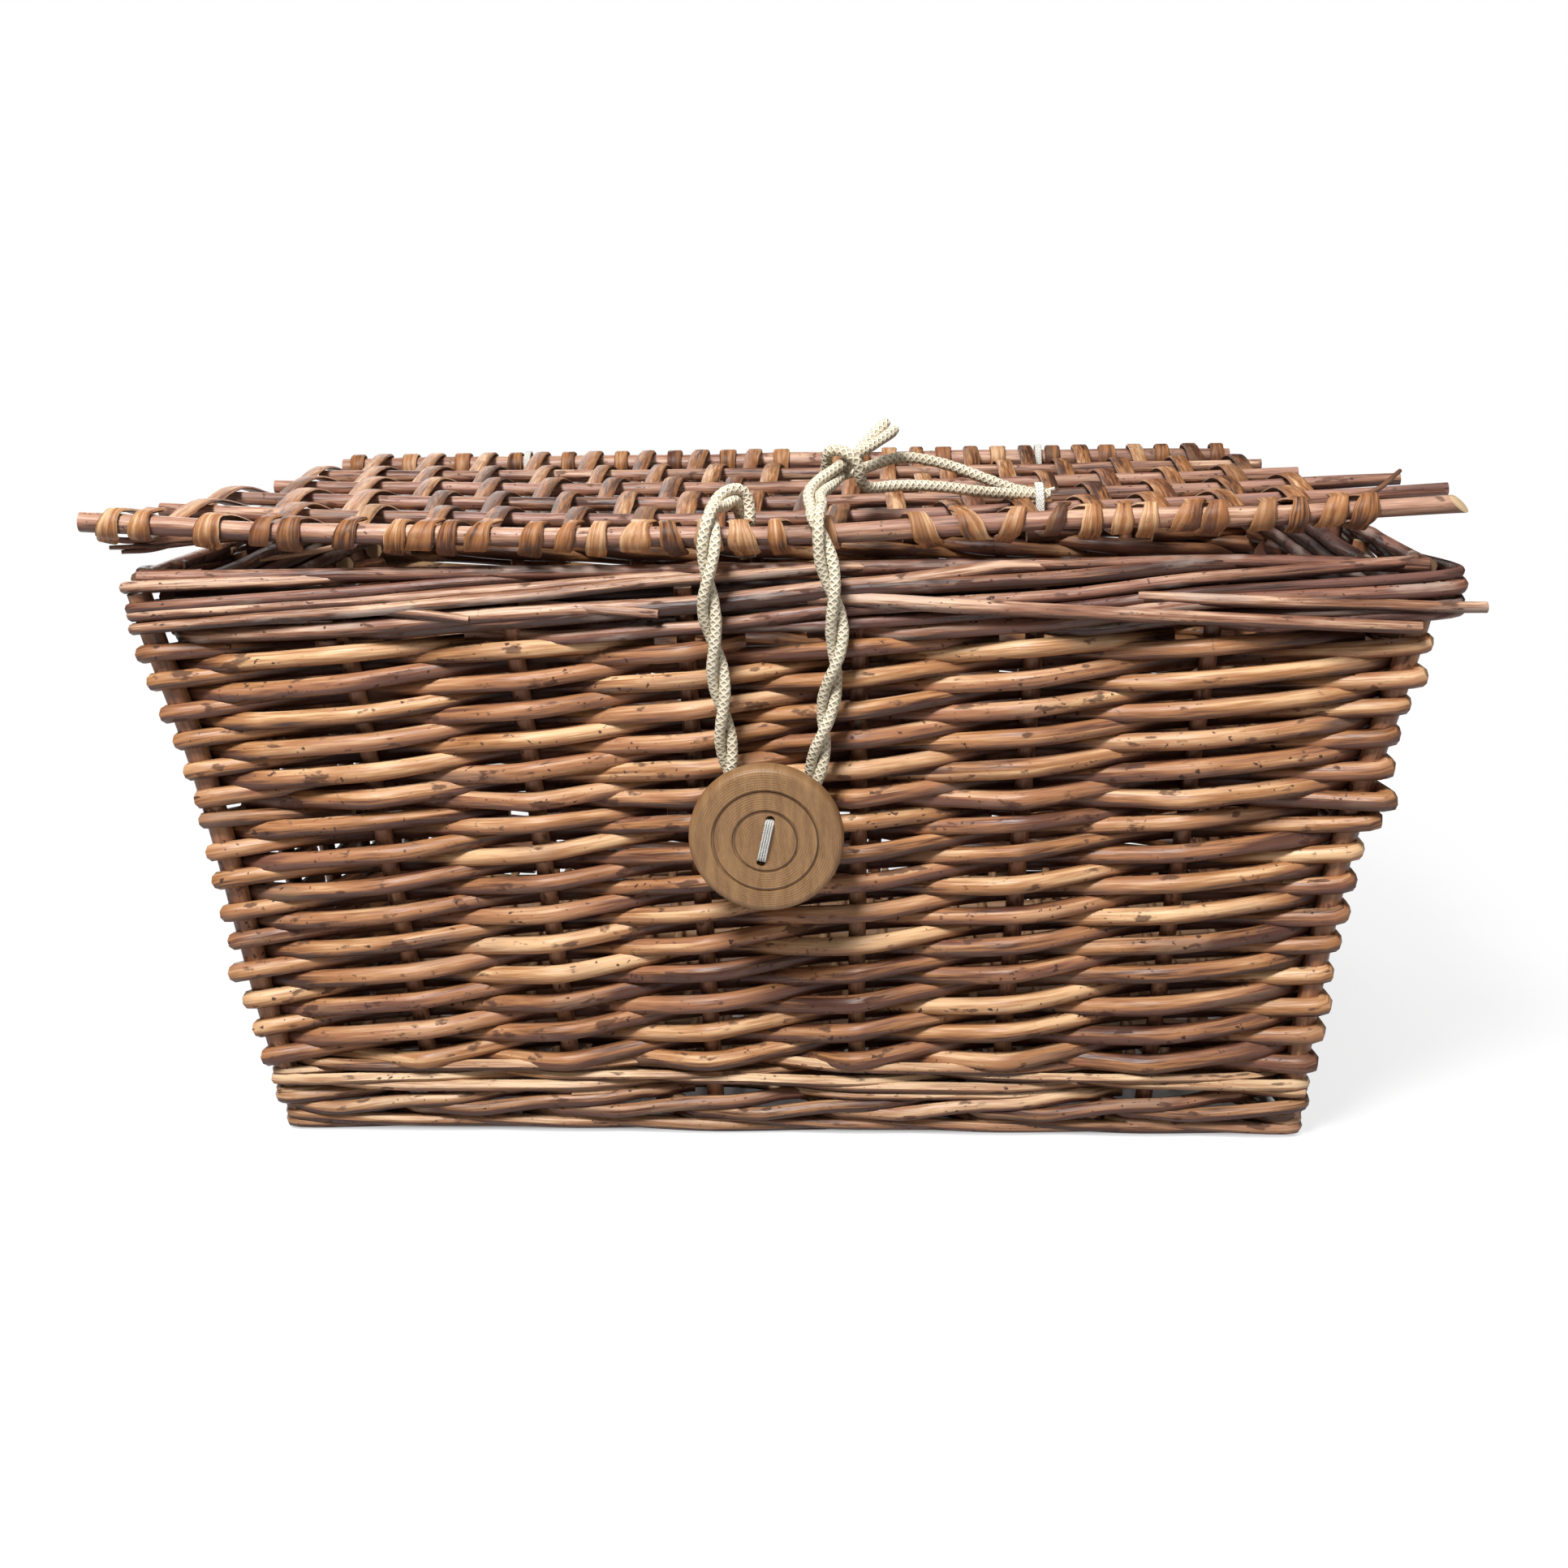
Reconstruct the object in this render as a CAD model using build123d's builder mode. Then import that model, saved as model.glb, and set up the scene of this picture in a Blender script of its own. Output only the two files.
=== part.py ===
"""Rectangular wicker hamper with a flat hinged lid and a button-and-loop closure.

Millimetres. +X runs along the front from left to right, the front faces -Y, +Z is up.
The origin is on the floor under the middle of the base.
"""
from build123d import *
import math
import os

# --- Basket: sizes of the stake frame, measured between the corner stakes' centres ---
base_width = 282.0
base_depth = 202.0
rim_width = 326.0
rim_depth = 246.0
rim_height = 166.0
long_wall_bays = 7
short_wall_bays = 6

# --- Willow rods ---
stake_diameter = 5.0
stake_foot = 1.5  # the stakes stop this far above the floor
weaver_diameter = 4.4
row_pitch = 4.65  # each weaver climbs one row from one stake to the next
lower_rows = 16
upper_rows = 10
set_gap = 2.4  # open band between the lower and the upper set of weavers
rod_gap = 0.25  # clearance between crossing rods
crest_rounding = 0.9  # a rod's bend past a stake takes this much off its corner
lead_rounding = 0.3
corner_lead = 12.0  # a rod lies against the wall this far before a corner
rod_tail = 7.0  # a rod end runs this far past its last stake

# --- Foot and wale ---
foot_rod_diameter = 5.2
foot_wear = 0.3  # depth of the flat that the floor has worn
wale_rod_diameter = 3.2
wale_rods = 3

# --- Base mat ---
base_stick_diameter = 6.0
base_stick_count = 7
base_rod_diameter = 3.0
base_rod_pitch = 5.0
base_rod_end = 1.0  # the mat's rods end this far past the outer sticks' centres

# --- Rim border ---
rim_rod_diameter = 4.6
rim_rod_step = 4.8  # height from one outer rod of the border to the next
rim_corner_rounding = 1.7
proud_rod_tip = 182.2  # half-way point of the border whose right end sticks out

# --- Lid ---
lid_depth = 249.4  # between the front and the back stick
lid_offset = -12.9  # the middle skein's place along the front
outer_stick_diameter = 7.2
inner_stick_diameter = 4.4
inner_stick_count = 4
stick_runs = 8  # a curled stick is drawn with this many runs
skein_width = 6.0
skein_thickness = 1.2
skein_pitch = 10.0
skeins_each_side = 16
skein_gap = 0.3
skein_tail = 7.0
lid_rest_gap = 0.4
lid_bow = 7.0  # the front corners have curled up this much
lid_bow_reach = 172.0  # at this distance from the lid's middle
front_stick_ends = (-181.4, 174.5)
back_stick_ends = (-179.0, 152.0)
inner_stick_ends = ((-178.0, 183.5), (-176.0, 181.4), (-175.0, 160.0), (-174.0, 156.0))

# --- Ties ---
tie_diameter = 1.8
tie_gap = 0.3
tie_knot_diameter = 3.0
left_tie_slot = -10  # ties lie in the gap to the right of these skeins
right_tie_slot = 9
keeper_tie_slot = 8

# --- Closure cord, doubled and twisted ---
loop_diameter = 6.2
keeper_diameter = 3.1
cord_gap = 0.3
knot_diameter = 7.8
crest_lift = 2.3  # room for a skein between the cord and the front stick

# --- Button ---
button_diameter = 41.0
button_thickness = 6.0
button_place = -1.7  # along the front
button_rim_round = 2.0
groove_width = 0.7
groove_depth = 0.4
outer_groove_diameter = 27.5
inner_groove_diameter = 16.5
hole_diameter = 2.4
hole_spacing = 12.4
hole_turn = 13.0  # the line through the holes leans this many degrees
thread_width = 1.9
thread_thickness = 0.9
shank_diameter = 1.8
shank_lift = 1.6  # the shank leaves through the upper part of the open band
shank_knot_diameter = 5.0

flare_width = (rim_width - base_width) / 2 / rim_height
flare_depth = (rim_depth - base_depth) / 2 / rim_height
WALLS = ("front", "right", "back", "left")


def half_width(z):
    """Distance of the side stakes from the middle at height z."""
    return base_width / 2 + flare_width * z


def half_depth(z):
    """Distance of the front and back stakes from the middle at height z."""
    return base_depth / 2 + flare_depth * z


def is_long(wall):
    return wall in ("front", "back")


def wall_bays(wall):
    return long_wall_bays if is_long(wall) else short_wall_bays


def wall_start(wall):
    """Number of the wall's first corner stake, counted round the basket from the front left."""
    return sum(wall_bays(w) for w in WALLS[: WALLS.index(wall)])


def half_length(wall, z):
    return half_width(z) if is_long(wall) else half_depth(z)


def wall_point(wall, along, out, z):
    """A point at a distance along a wall from its middle and out from its stakes' centres."""
    away = (half_depth(z) if is_long(wall) else half_width(z)) + out
    return Vector(along, -away, z).rotate(Axis.Z, 90 * WALLS.index(wall))


def stake_along(wall, number, z):
    return half_length(wall, z) * (2 * number / wall_bays(wall) - 1)


def bend_radii(points, rounding):
    """Radii of bends that take the given distances off the corners, less where a run is short."""
    runs = [Vector(b) - Vector(a) for a, b in zip(points, points[1:])]
    radii = []
    for one, other, taken in zip(runs, runs[1:], rounding):
        half_turn = math.radians(one.get_angle(other) / 2)
        longest = 0.45 * min(one.length, other.length) / math.tan(half_turn)
        radii.append(min(taken / (1 / math.cos(half_turn) - 1), longest))
    return radii


def rod(points, diameter, rounding=None):
    """A round rod along straight runs, rounded by the given distance at each inner point."""
    with BuildPart() as piece:
        with BuildLine() as route:
            if rounding:
                FilletPolyline(*points, radius=bend_radii(points, rounding))
            else:
                Polyline(*points)
        with BuildSketch(Plane(route.line @ 0, z_dir=route.line % 0)):
            Circle(diameter / 2)
        sweep()
    return piece.part.solid()


def corner_points(wall, side, clear, diameter, z):
    """The end of a rod at a wall's last corner stake, as (distance past the stake, out) pairs.

    Rods of the long walls turn the corner, and rods of the short walls butt against them.
    """
    turn_run = clear + 0.5
    if is_long(wall):
        if side > 0:
            return [(-corner_lead, clear), (clear, clear), (clear, clear - turn_run)]
        return [(-corner_lead, -clear), (diameter / 2 - clear, -clear)]
    if side > 0:
        return [(-corner_lead, clear), (clear - turn_run - rod_gap, clear)]
    return [(-corner_lead, -clear), (-clear - diameter / 2 - rod_gap, -clear)]


def woven_rod(wall, first, last, side_of, height_of, diameter):
    """A rod that passes the stakes first to last of a wall, outside or inside each."""
    bays = wall_bays(wall)
    clear = stake_diameter / 2 + rod_gap + diameter / 2
    crest = clear + crest_rounding
    points = []
    rounding = []

    def put(along, out, z, taken):
        points.append(wall_point(wall, along, out, z))
        rounding.append(taken)

    for number in range(first, last + 1):
        z = height_of(number)
        side = side_of(number)
        here = stake_along(wall, number, z)
        before = side_of(number - 1) if number > first else 0
        after = side_of(number + 1) if number < last else 0
        if number in (0, bays):
            end = corner_points(wall, side, clear, diameter, z)
            if side in (before, after):
                end = end[1:]
            end = end[::-1] if number == 0 else end
            sign = -1 if number == 0 else 1
            for past, out in end:
                put(here + sign * past, out, z, 0.4 * clear if abs(past) == clear else lead_rounding)
        elif number == first:
            put(here - rod_tail, side * clear, z, 0)
            put(here + 2, side * clear, z, lead_rounding)
        elif number == last:
            put(here - 2, side * clear, z, lead_rounding)
            put(here + rod_tail, side * clear, z, 0)
        else:
            put(here, side * crest, z, crest_rounding)
    return rod(points, diameter, rounding[1:-1])


def stakes(wall, top):
    """The upright rods between a wall's corners."""
    return [
        rod([wall_point(wall, stake_along(wall, n, z), 0, z) for z in (stake_foot, top)], stake_diameter)
        for n in range(1, wall_bays(wall))
    ]


def randing(wall, first_row, rows, bottom):
    """A set of weavers that climb one row a stake, outside on even rows and inside on odd ones."""
    bays = wall_bays(wall)
    rods = []
    for start in range(-bays, rows):
        first = max(0, -start)
        last = min(bays, rows - 1 - start)
        if last > first:
            rods.append(
                woven_rod(
                    wall,
                    first,
                    last,
                    lambda n: 1 if (first_row + start + n) % 2 == 0 else -1,
                    lambda n: bottom + row_pitch * (start + n),
                    weaver_diameter,
                )
            )
    return rods


def foot_rods(wall):
    """Two rods that cross between the stakes, one above the other, worn flat underneath."""
    low = foot_rod_diameter / 2 - foot_wear
    rods = []
    for level in range(2):
        z = low + level * (foot_rod_diameter + rod_gap)
        start = wall_start(wall) + level
        rods.append(
            woven_rod(
                wall,
                0,
                wall_bays(wall),
                lambda n: 1 if (start + n) % 2 == 0 else -1,
                lambda n: z,
                foot_rod_diameter,
            )
        )
    return rods


foot_top = 2 * foot_rod_diameter + rod_gap - foot_wear


def wale_level(number):
    """Height of a wale rod's centre."""
    return foot_top + rod_gap + wale_rod_diameter / 2 + number * (wale_rod_diameter + rod_gap)


def waling(wall):
    """Rods in front of two stakes and behind the third, each one stake on from the rod below."""
    rods = []
    for number in range(wale_rods):
        start = wall_start(wall) + number
        rods.append(
            woven_rod(
                wall,
                0,
                wall_bays(wall),
                lambda n: -1 if (start + n) % 3 == 0 else 1,
                lambda n: wale_level(number),
                wale_rod_diameter,
            )
        )
    return rods


def border_rod(wall, out, z, tip=None):
    """A border rod at a distance out from the stakes, which may run straight on at its right end."""
    half = half_length(wall, z)
    run = 3 * rim_corner_rounding
    if is_long(wall):
        route = [(-half - out, out - run), (-half - out, out), (half + out, out), (half + out, out - run)]
        rounding = [rim_corner_rounding, rim_corner_rounding]
        if tip:
            route = route[:2] + [(tip, out)]
            rounding = [rim_corner_rounding]
    else:
        reach = half + out - run - rod_gap
        route = [(-reach, out), (reach, out)]
        rounding = None
    return rod([wall_point(wall, along, away, z) for along, away in route], rim_rod_diameter, rounding)


# --- Heights that follow from the rods ---
lower_bottom = wale_level(wale_rods - 1) + (wale_rod_diameter + weaver_diameter) / 2 + rod_gap
gap_bottom = lower_bottom + (lower_rows - 1) * row_pitch + weaver_diameter / 2
upper_bottom = gap_bottom + set_gap + weaver_diameter / 2
rim_top_rod = rim_height - rim_rod_diameter / 2
stake_top = rim_top_rod - rim_rod_diameter / 2 - rod_gap - stake_diameter / 10
border_out = (stake_diameter + rim_rod_diameter) / 2 + rod_gap
border_bottom = rim_top_rod - 3 * rim_rod_step - rim_rod_diameter / 2
# a strip lies square across a stick that slopes, so it stands off by the slope over half its width
strip_gap = skein_gap + skein_width * lid_bow / lid_bow_reach
lid_level = rim_height + lid_rest_gap + skein_thickness + strip_gap + outer_stick_diameter / 2


def rim_rods(wall):
    """The border: a rod on the stake tops, rods outside them and one inside."""
    rods = [border_rod(wall, 0, rim_top_rod)]
    rods.append(border_rod(wall, -border_out, border_bottom + 2 * rim_rod_step))
    outside = 3 if wall == "back" else 4
    for number in range(outside):
        bulge = 0.8 if number == 1 else 0.0
        tip = proud_rod_tip if wall == "front" and number == 1 else None
        rods.append(border_rod(wall, border_out + bulge, border_bottom + number * rim_rod_step, tip))
    return rods


def finish(piece, name):
    """Label a sub-part and write it."""
    piece.part.label = name
    export_step(piece.part, f"parts/{name}.step")


os.makedirs("parts", exist_ok=True)

# --- Walls ---
for wall in WALLS:
    rods = foot_rods(wall)
    with BuildPart() as foot_border:
        add(rods)
        split(bisect_by=Plane.XY, keep=Keep.TOP)
    finish(foot_border, f"foot_border_{wall}")

    rods = waling(wall)
    with BuildPart() as foot_wale:
        add(rods)
    finish(foot_wale, f"foot_wale_{wall}")

    rods = stakes(wall, stake_top)
    with BuildPart() as wall_stakes:
        add(rods)
    finish(wall_stakes, f"stakes_{wall}")

    rods = randing(wall, wall_start(wall), lower_rows, lower_bottom)
    with BuildPart() as lower_weave:
        add(rods)
    finish(lower_weave, f"lower_weave_{wall}")

    rods = randing(wall, wall_start(wall) + lower_rows, upper_rows, upper_bottom)
    with BuildPart() as upper_weave:
        add(rods)
    finish(upper_weave, f"upper_weave_{wall}")

    rods = rim_rods(wall)
    with BuildPart() as rim_border:
        add(rods)
    finish(rim_border, f"rim_border_{wall}")

rods = [
    rod([wall_point(wall, half_length(wall, z), 0, z) for z in (stake_foot, stake_top)], stake_diameter)
    for wall in WALLS
]
with BuildPart() as corner_stakes:
    add(rods)
finish(corner_stakes, "corner_stakes")

# --- Base mat: sticks from left to right, rods from front to back over and under them ---
base_level = foot_top + base_rod_diameter + base_stick_diameter / 2
mat_clear = stake_diameter / 2 + wale_rod_diameter + 2 * rod_gap + rod_gap
mat_half_length = half_width(base_level) - mat_clear
mat_half_depth = half_depth(base_level) - mat_clear - base_stick_diameter / 2
stick_step = 2 * mat_half_depth / (base_stick_count - 1)
stick_places = [-mat_half_depth + stick_step * n for n in range(base_stick_count)]

rods = [
    rod([(-mat_half_length, y, base_level), (mat_half_length, y, base_level)], base_stick_diameter)
    for y in stick_places
]
with BuildPart() as base_sticks:
    add(rods)
finish(base_sticks, "base_sticks")


def mat_rod(x, side):
    """A base rod over or under each stick in turn."""
    clear = (base_stick_diameter + base_rod_diameter) / 2 + rod_gap
    points = [(x, stick_places[0] - base_rod_end, base_level + side * clear)]
    points.append((x, stick_places[0] + 2, base_level + side * clear))
    for y in stick_places[1:-1]:
        side = -side
        points.append((x, y, base_level + side * (clear + crest_rounding)))
    side = -side
    points.append((x, stick_places[-1] - 2, base_level + side * clear))
    points.append((x, stick_places[-1] + base_rod_end, base_level + side * clear))
    rounding = [lead_rounding] + [crest_rounding] * (len(points) - 4) + [lead_rounding]
    return rod(points, base_rod_diameter, rounding)


mat_rods = int((2 * mat_half_length - 2 * base_rod_diameter) / base_rod_pitch)
rods = [
    mat_rod((n - (mat_rods - 1) / 2) * base_rod_pitch, 1 if n % 2 else -1) for n in range(mat_rods)
]
with BuildPart() as base_weave:
    add(rods)
finish(base_weave, "base_weave")

# --- Lid ---
hinge_y = half_depth(rim_top_rod)
front_stick_y = hinge_y - lid_depth
inner_step = lid_depth / (inner_stick_count + 1)
inner_places = [front_stick_y + inner_step * (n + 1) for n in range(inner_stick_count)]


def lid_height(x, y):
    """Height of the lid's middle plane, level at the back and curled up at the front corners."""
    return lid_level + lid_bow * ((x - lid_offset) / lid_bow_reach) ** 2 * (hinge_y - y) / lid_depth


def lid_stick(y, ends, diameter):
    """A stick that follows the lid's curl from its left to its right end."""
    if y == hinge_y:
        return rod([(x, y, lid_level) for x in ends], diameter)
    left, right = ends
    places = [left + (right - left) * n / stick_runs for n in range(stick_runs + 1)]
    points = [(x, y, lid_height(x, y)) for x in places]
    return rod(points, diameter, [lead_rounding] * (stick_runs - 1))


def ribbon(points, rounding, width, thickness):
    """A flat strip that bends in a plane across its width."""
    with BuildPart() as piece:
        with BuildLine() as route:
            FilletPolyline(*points, radius=bend_radii(points, rounding))
        with BuildSketch(Plane(route.line @ 0, x_dir=(1, 0, 0), z_dir=route.line % 0)):
            Rectangle(width, thickness)
        sweep()
    return piece.part.solid()


wrap = outer_stick_diameter / 2 + strip_gap + skein_thickness / 2
over = inner_stick_diameter / 2 + strip_gap + skein_thickness / 2 + crest_rounding


def skein(x, side):
    """A willow strip over and under the inner sticks, wrapped round the front and back sticks."""
    front_level = lid_height(x, front_stick_y)
    points = [
        (x, front_stick_y + skein_tail, front_level + side * wrap),
        (x, front_stick_y - wrap, front_level + side * wrap),
        (x, front_stick_y - wrap, front_level - side * wrap),
        (x, front_stick_y + 3, front_level - side * wrap),
    ]
    rounding = [0.4 * wrap, 0.4 * wrap, lead_rounding]
    for y in inner_places:
        points.append((x, y, lid_height(x, y) + side * over))
        rounding.append(crest_rounding)
        side = -side
    points += [
        (x, hinge_y - 1.05 * wrap, lid_level + side * wrap),
        (x, hinge_y + wrap, lid_level + side * wrap),
        (x, hinge_y + wrap, lid_level - side * wrap),
        (x, hinge_y - skein_tail, lid_level - side * wrap),
    ]
    rounding += [lead_rounding, 0.4 * wrap, 0.4 * wrap]
    return ribbon(points, rounding, skein_width, skein_thickness)


def skein_place(number):
    return lid_offset + skein_pitch * number


rods = [lid_stick(front_stick_y, front_stick_ends, outer_stick_diameter)]
with BuildPart() as lid_front_stick:
    add(rods)
finish(lid_front_stick, "lid_front_stick")

rods = [lid_stick(hinge_y, back_stick_ends, outer_stick_diameter)]
with BuildPart() as lid_back_stick:
    add(rods)
finish(lid_back_stick, "lid_back_stick")

rods = [lid_stick(y, ends, inner_stick_diameter) for y, ends in zip(inner_places, inner_stick_ends)]
with BuildPart() as lid_inner_sticks:
    add(rods)
finish(lid_inner_sticks, "lid_inner_sticks")

# the skein beside the middle one is left out, where the closure cord comes up through the lid
strips = [
    skein(skein_place(number), 1 if number % 2 else -1)
    for number in range(-skeins_each_side, skeins_each_side + 1)
    if number != 1
]
with BuildPart() as lid_skeins:
    add(strips)
finish(lid_skeins, "lid_skeins")


# --- Ties: rings of cord in the gaps between skeins, knotted on their front side ---
def tie_ring(slot, y, low, high, half, rounding):
    """A cord ring in the YZ plane, to the right of a skein."""
    x = skein_place(slot) + skein_pitch / 2
    middle = (low + high) / 2
    points = [
        (x, y - half, middle + 0.1),
        (x, y - half, high),
        (x, y + half, high),
        (x, y + half, low),
        (x, y - half, low),
        (x, y - half, middle - 0.1),
    ]
    ring = rod(points, tie_diameter, [rounding] * 4)
    with BuildPart() as piece:
        add(ring)
        with Locations((x, y - half - tie_diameter / 3, middle)):
            Sphere(tie_knot_diameter / 2)
    return piece.part.solid()


tie_clear = tie_gap + tie_diameter / 2
for name, slot in (("hinge_tie_left", left_tie_slot), ("hinge_tie_right", right_tie_slot)):
    ring = tie_ring(
        slot,
        hinge_y,
        rim_top_rod - rim_rod_diameter / 2 - tie_clear,
        lid_level + outer_stick_diameter / 2 + tie_clear,
        outer_stick_diameter / 2 + tie_clear,
        outer_stick_diameter,
    )
    with BuildPart() as hinge_tie:
        add(ring)
    finish(hinge_tie, name)

keeper_x = skein_place(keeper_tie_slot) + skein_pitch / 2
keeper_stick_level = lid_height(keeper_x, inner_places[0])
keeper_level = keeper_stick_level + inner_stick_diameter / 2 + skein_gap + skein_thickness
keeper_level += cord_gap + keeper_diameter / 2 + 0.3
keeper_half = keeper_diameter / 2 + cord_gap
ring = tie_ring(
    keeper_tie_slot,
    inner_places[0],
    keeper_stick_level - inner_stick_diameter / 2 - tie_clear,
    keeper_level + keeper_diameter / 2 + tie_clear,
    keeper_half + keeper_diameter / 2 + tie_clear,
    tie_diameter / 3,
)
with BuildPart() as keeper_tie:
    add(ring)
finish(keeper_tie, "keeper_tie")

# --- Button: its axis is square to the front wall, through the gap between the weavers ---
axis_z = gap_bottom + set_gap / 2 + shank_lift
wall_lean = math.degrees(math.atan(flare_depth))
button_axis = Vector(0, -1, 0).rotate(Axis.X, wall_lean)
loop_out = stake_diameter / 2 + rod_gap + weaver_diameter + cord_gap + loop_diameter / 2 + 1.5
button_back = loop_out + loop_diameter / 2 + cord_gap + thread_thickness
wall_middle = Vector(button_place, -half_depth(axis_z), axis_z)


def button_plane(out):
    """A plane square to the button's axis, at a distance out from the stakes."""
    return Plane(wall_middle + button_axis * out, x_dir=(1, 0, 0), z_dir=button_axis)


hole_places = [
    Vector(0, offset, 0).rotate(Axis.Z, -hole_turn) for offset in (-hole_spacing / 2, hole_spacing / 2)
]
with BuildPart() as button:
    with BuildSketch(button_plane(button_back)):
        Circle(button_diameter / 2)
    extrude(amount=button_thickness)
    rims = button.edges().filter_by(GeomType.CIRCLE).sort_by(SortBy.RADIUS)[-2:]
    fillet(rims, button_rim_round)
    with BuildSketch(button_plane(button_back + button_thickness - groove_depth)):
        for groove_diameter in (outer_groove_diameter, inner_groove_diameter):
            Circle(groove_diameter / 2 + groove_width)
            Circle(groove_diameter / 2, mode=Mode.SUBTRACT)
            if groove_diameter == outer_groove_diameter:
                Circle(inner_groove_diameter / 2 + groove_width, mode=Mode.SUBTRACT)
    extrude(amount=groove_depth, mode=Mode.SUBTRACT)
    with BuildSketch(button_plane(button_back)):
        with Locations(*hole_places):
            Circle(hole_diameter / 2)
    extrude(amount=button_thickness, mode=Mode.SUBTRACT)
finish(button, "button")

stitch_length = hole_spacing + thread_width
with BuildPart() as button_stitch:
    for out in (button_back - thread_thickness, button_back + button_thickness):
        with BuildSketch(button_plane(out)):
            Rectangle(thread_width, stitch_length, rotation=-hole_turn)
        extrude(amount=thread_thickness)
    with BuildSketch(button_plane(button_back - thread_thickness)):
        with Locations(*hole_places):
            Circle(thread_width / 2)
    extrude(amount=button_thickness + 2 * thread_thickness)
finish(button_stitch, "button_stitch")

shank_inside = stake_diameter / 2 + rod_gap + weaver_diameter
with BuildPart() as button_shank:
    with BuildSketch(button_plane(-shank_inside)):
        Circle(shank_diameter / 2)
    extrude(amount=shank_inside + button_back - thread_thickness - cord_gap)
    with Locations(wall_middle - button_axis * shank_inside):
        Sphere(shank_knot_diameter / 2)
finish(button_shank, "button_shank")

# --- Closure cord ---
crest_z = lid_level + outer_stick_diameter / 2 + cord_gap + loop_diameter / 2 + crest_lift - 0.4
crest_out = crest_z - lid_level
front_y = front_stick_y - crest_out


def on_front(x, z, out=loop_out):
    """A point of the cord against the front wall."""
    return (x, -half_depth(z) - out, z)


def cord(points, diameter, name):
    """A cord's tube, with its length and its bends printed."""
    rounding = [1000.0] * (len(points) - 2)
    bends = bend_radii(points, rounding)
    tube = rod(points, diameter, rounding)
    area = math.pi * diameter**2 / 4
    print(f"{name}: volume / section = {tube.volume / area:.1f} mm")
    print(f"  bend radii {[round(b, 1) for b in bends]}")
    return tube


left_crest_x = -14.0
right_crest_x = 12.5
loop_points = [
    (left_crest_x, front_stick_y, crest_z),
    (left_crest_x, front_y, crest_z),
    (-15.8, front_y + 0.7, 160.0),
    on_front(-14.1, 146.0),
    on_front(-12.5, 126.0),
    on_front(-11.6, 112.0),
    on_front(-10.5, 97.0),
    on_front(-7.4, 86.5),
    on_front(4.0, 86.5),
    on_front(7.2, 97.0),
    on_front(11.5, 112.0),
    on_front(14.9, 130.0),
    on_front(18.0, 146.0),
    (17.2, front_y + 0.7, 160.0),
    (right_crest_x, front_y, crest_z),
    (right_crest_x, front_stick_y, crest_z),
]
tube = cord(loop_points, loop_diameter, "closure_loop")
with BuildPart() as closure_loop:
    add(tube)
finish(closure_loop, "closure_loop")

root_x = skein_place(0) + skein_width / 2 + cord_gap + loop_diameter / 2
root_y = front_stick_y + 12.6
root_points = [
    (left_crest_x, front_stick_y, crest_z),
    (left_crest_x, front_stick_y + 4.0, crest_z),
    (-10.5, front_stick_y + 8.8, crest_z + 3.6),
    (root_x, root_y, crest_z + 2.2),
    (root_x, root_y, lid_level - 5.0),
]
tube = cord(root_points, loop_diameter, "loop_root")
with BuildPart() as loop_root:
    add(tube)
    with Locations((root_x + 0.6, root_y, lid_level - 5.0)):
        Sphere(knot_diameter / 2)
finish(loop_root, "loop_root")

finger_points = [
    (right_crest_x, front_stick_y, crest_z),
    (right_crest_x, front_stick_y + 4.2, crest_z),
    (10.9, front_stick_y + 10.5, crest_z + 3.4),
    (16.3, front_stick_y + 20.7, crest_z + 6.5),
    (23.0, front_stick_y + 30.7, crest_z + 12.1),
    (31.3, front_stick_y + 39.7, crest_z + 18.5),
]
tube = cord(finger_points, loop_diameter, "loop_finger")
with BuildPart() as loop_finger:
    add(tube)
    with Locations(finger_points[-1]):
        Sphere(loop_diameter / 2)
finish(loop_finger, "loop_finger")

# the keeper goes out from its tie, once round the finger and back
keeper_end = keeper_x + tie_diameter / 2 + 2.0
hitch_half = (loop_diameter + keeper_diameter) / 2 + cord_gap + 0.3
lower_finger = Vector(finger_points[3])
finger_run = (Vector(finger_points[4]) - lower_finger).normalized()
hitch_middle = lower_finger + finger_run * 4.5
hitch_right = (Vector(1, 0, 0) - finger_run * finger_run.X).normalized()
hitch_up = hitch_right.cross(finger_run)


def hitch(right, up):
    """A corner of the keeper's turn round the finger."""
    return hitch_middle + hitch_right * hitch_half * right + hitch_up * hitch_half * up


keeper_points = [
    (keeper_end, inner_places[0] - keeper_half, keeper_level),
    (keeper_x - 4.0, inner_places[0] - keeper_half, keeper_level),
    (56.0, inner_places[0] - 9.0, keeper_level + 1.6),
    (43.0, inner_places[0] - 14.0, keeper_level + 4.0),
    (31.5, inner_places[0] - 18.0, keeper_level + 4.6),
    hitch(1, -1),
    hitch(1, 1),
    hitch(-1, 1),
    hitch(-1, -1),
    (23.0, inner_places[0] - 9.5, keeper_level + 8.2),
    (33.0, inner_places[0] - 3.0, keeper_level + 11.4),
    (45.0, inner_places[0] - 1.0, keeper_level + 9.2),
    (57.0, inner_places[0] + 0.5, keeper_level + 4.4),
    (keeper_x - 4.0, inner_places[0] + keeper_half, keeper_level),
    (keeper_end, inner_places[0] + keeper_half, keeper_level),
]
tube = cord(keeper_points, keeper_diameter, "keeper_cord")
with BuildPart() as keeper_cord:
    add(tube)
finish(keeper_cord, "keeper_cord")

print("hinge axis y, z:", round(hinge_y, 3), round(lid_level, 3))
print("front stick y:", round(front_stick_y, 3), "crest z:", round(crest_z, 3))
print("button axis through", wall_middle, "along", button_axis)
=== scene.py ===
"""Looks of a rectangular wicker basket with a flat hinged lid and a button-and-loop closure.

Metres. +X runs along the front from left to right, the front faces -Y, +Z is up.
"""

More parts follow.
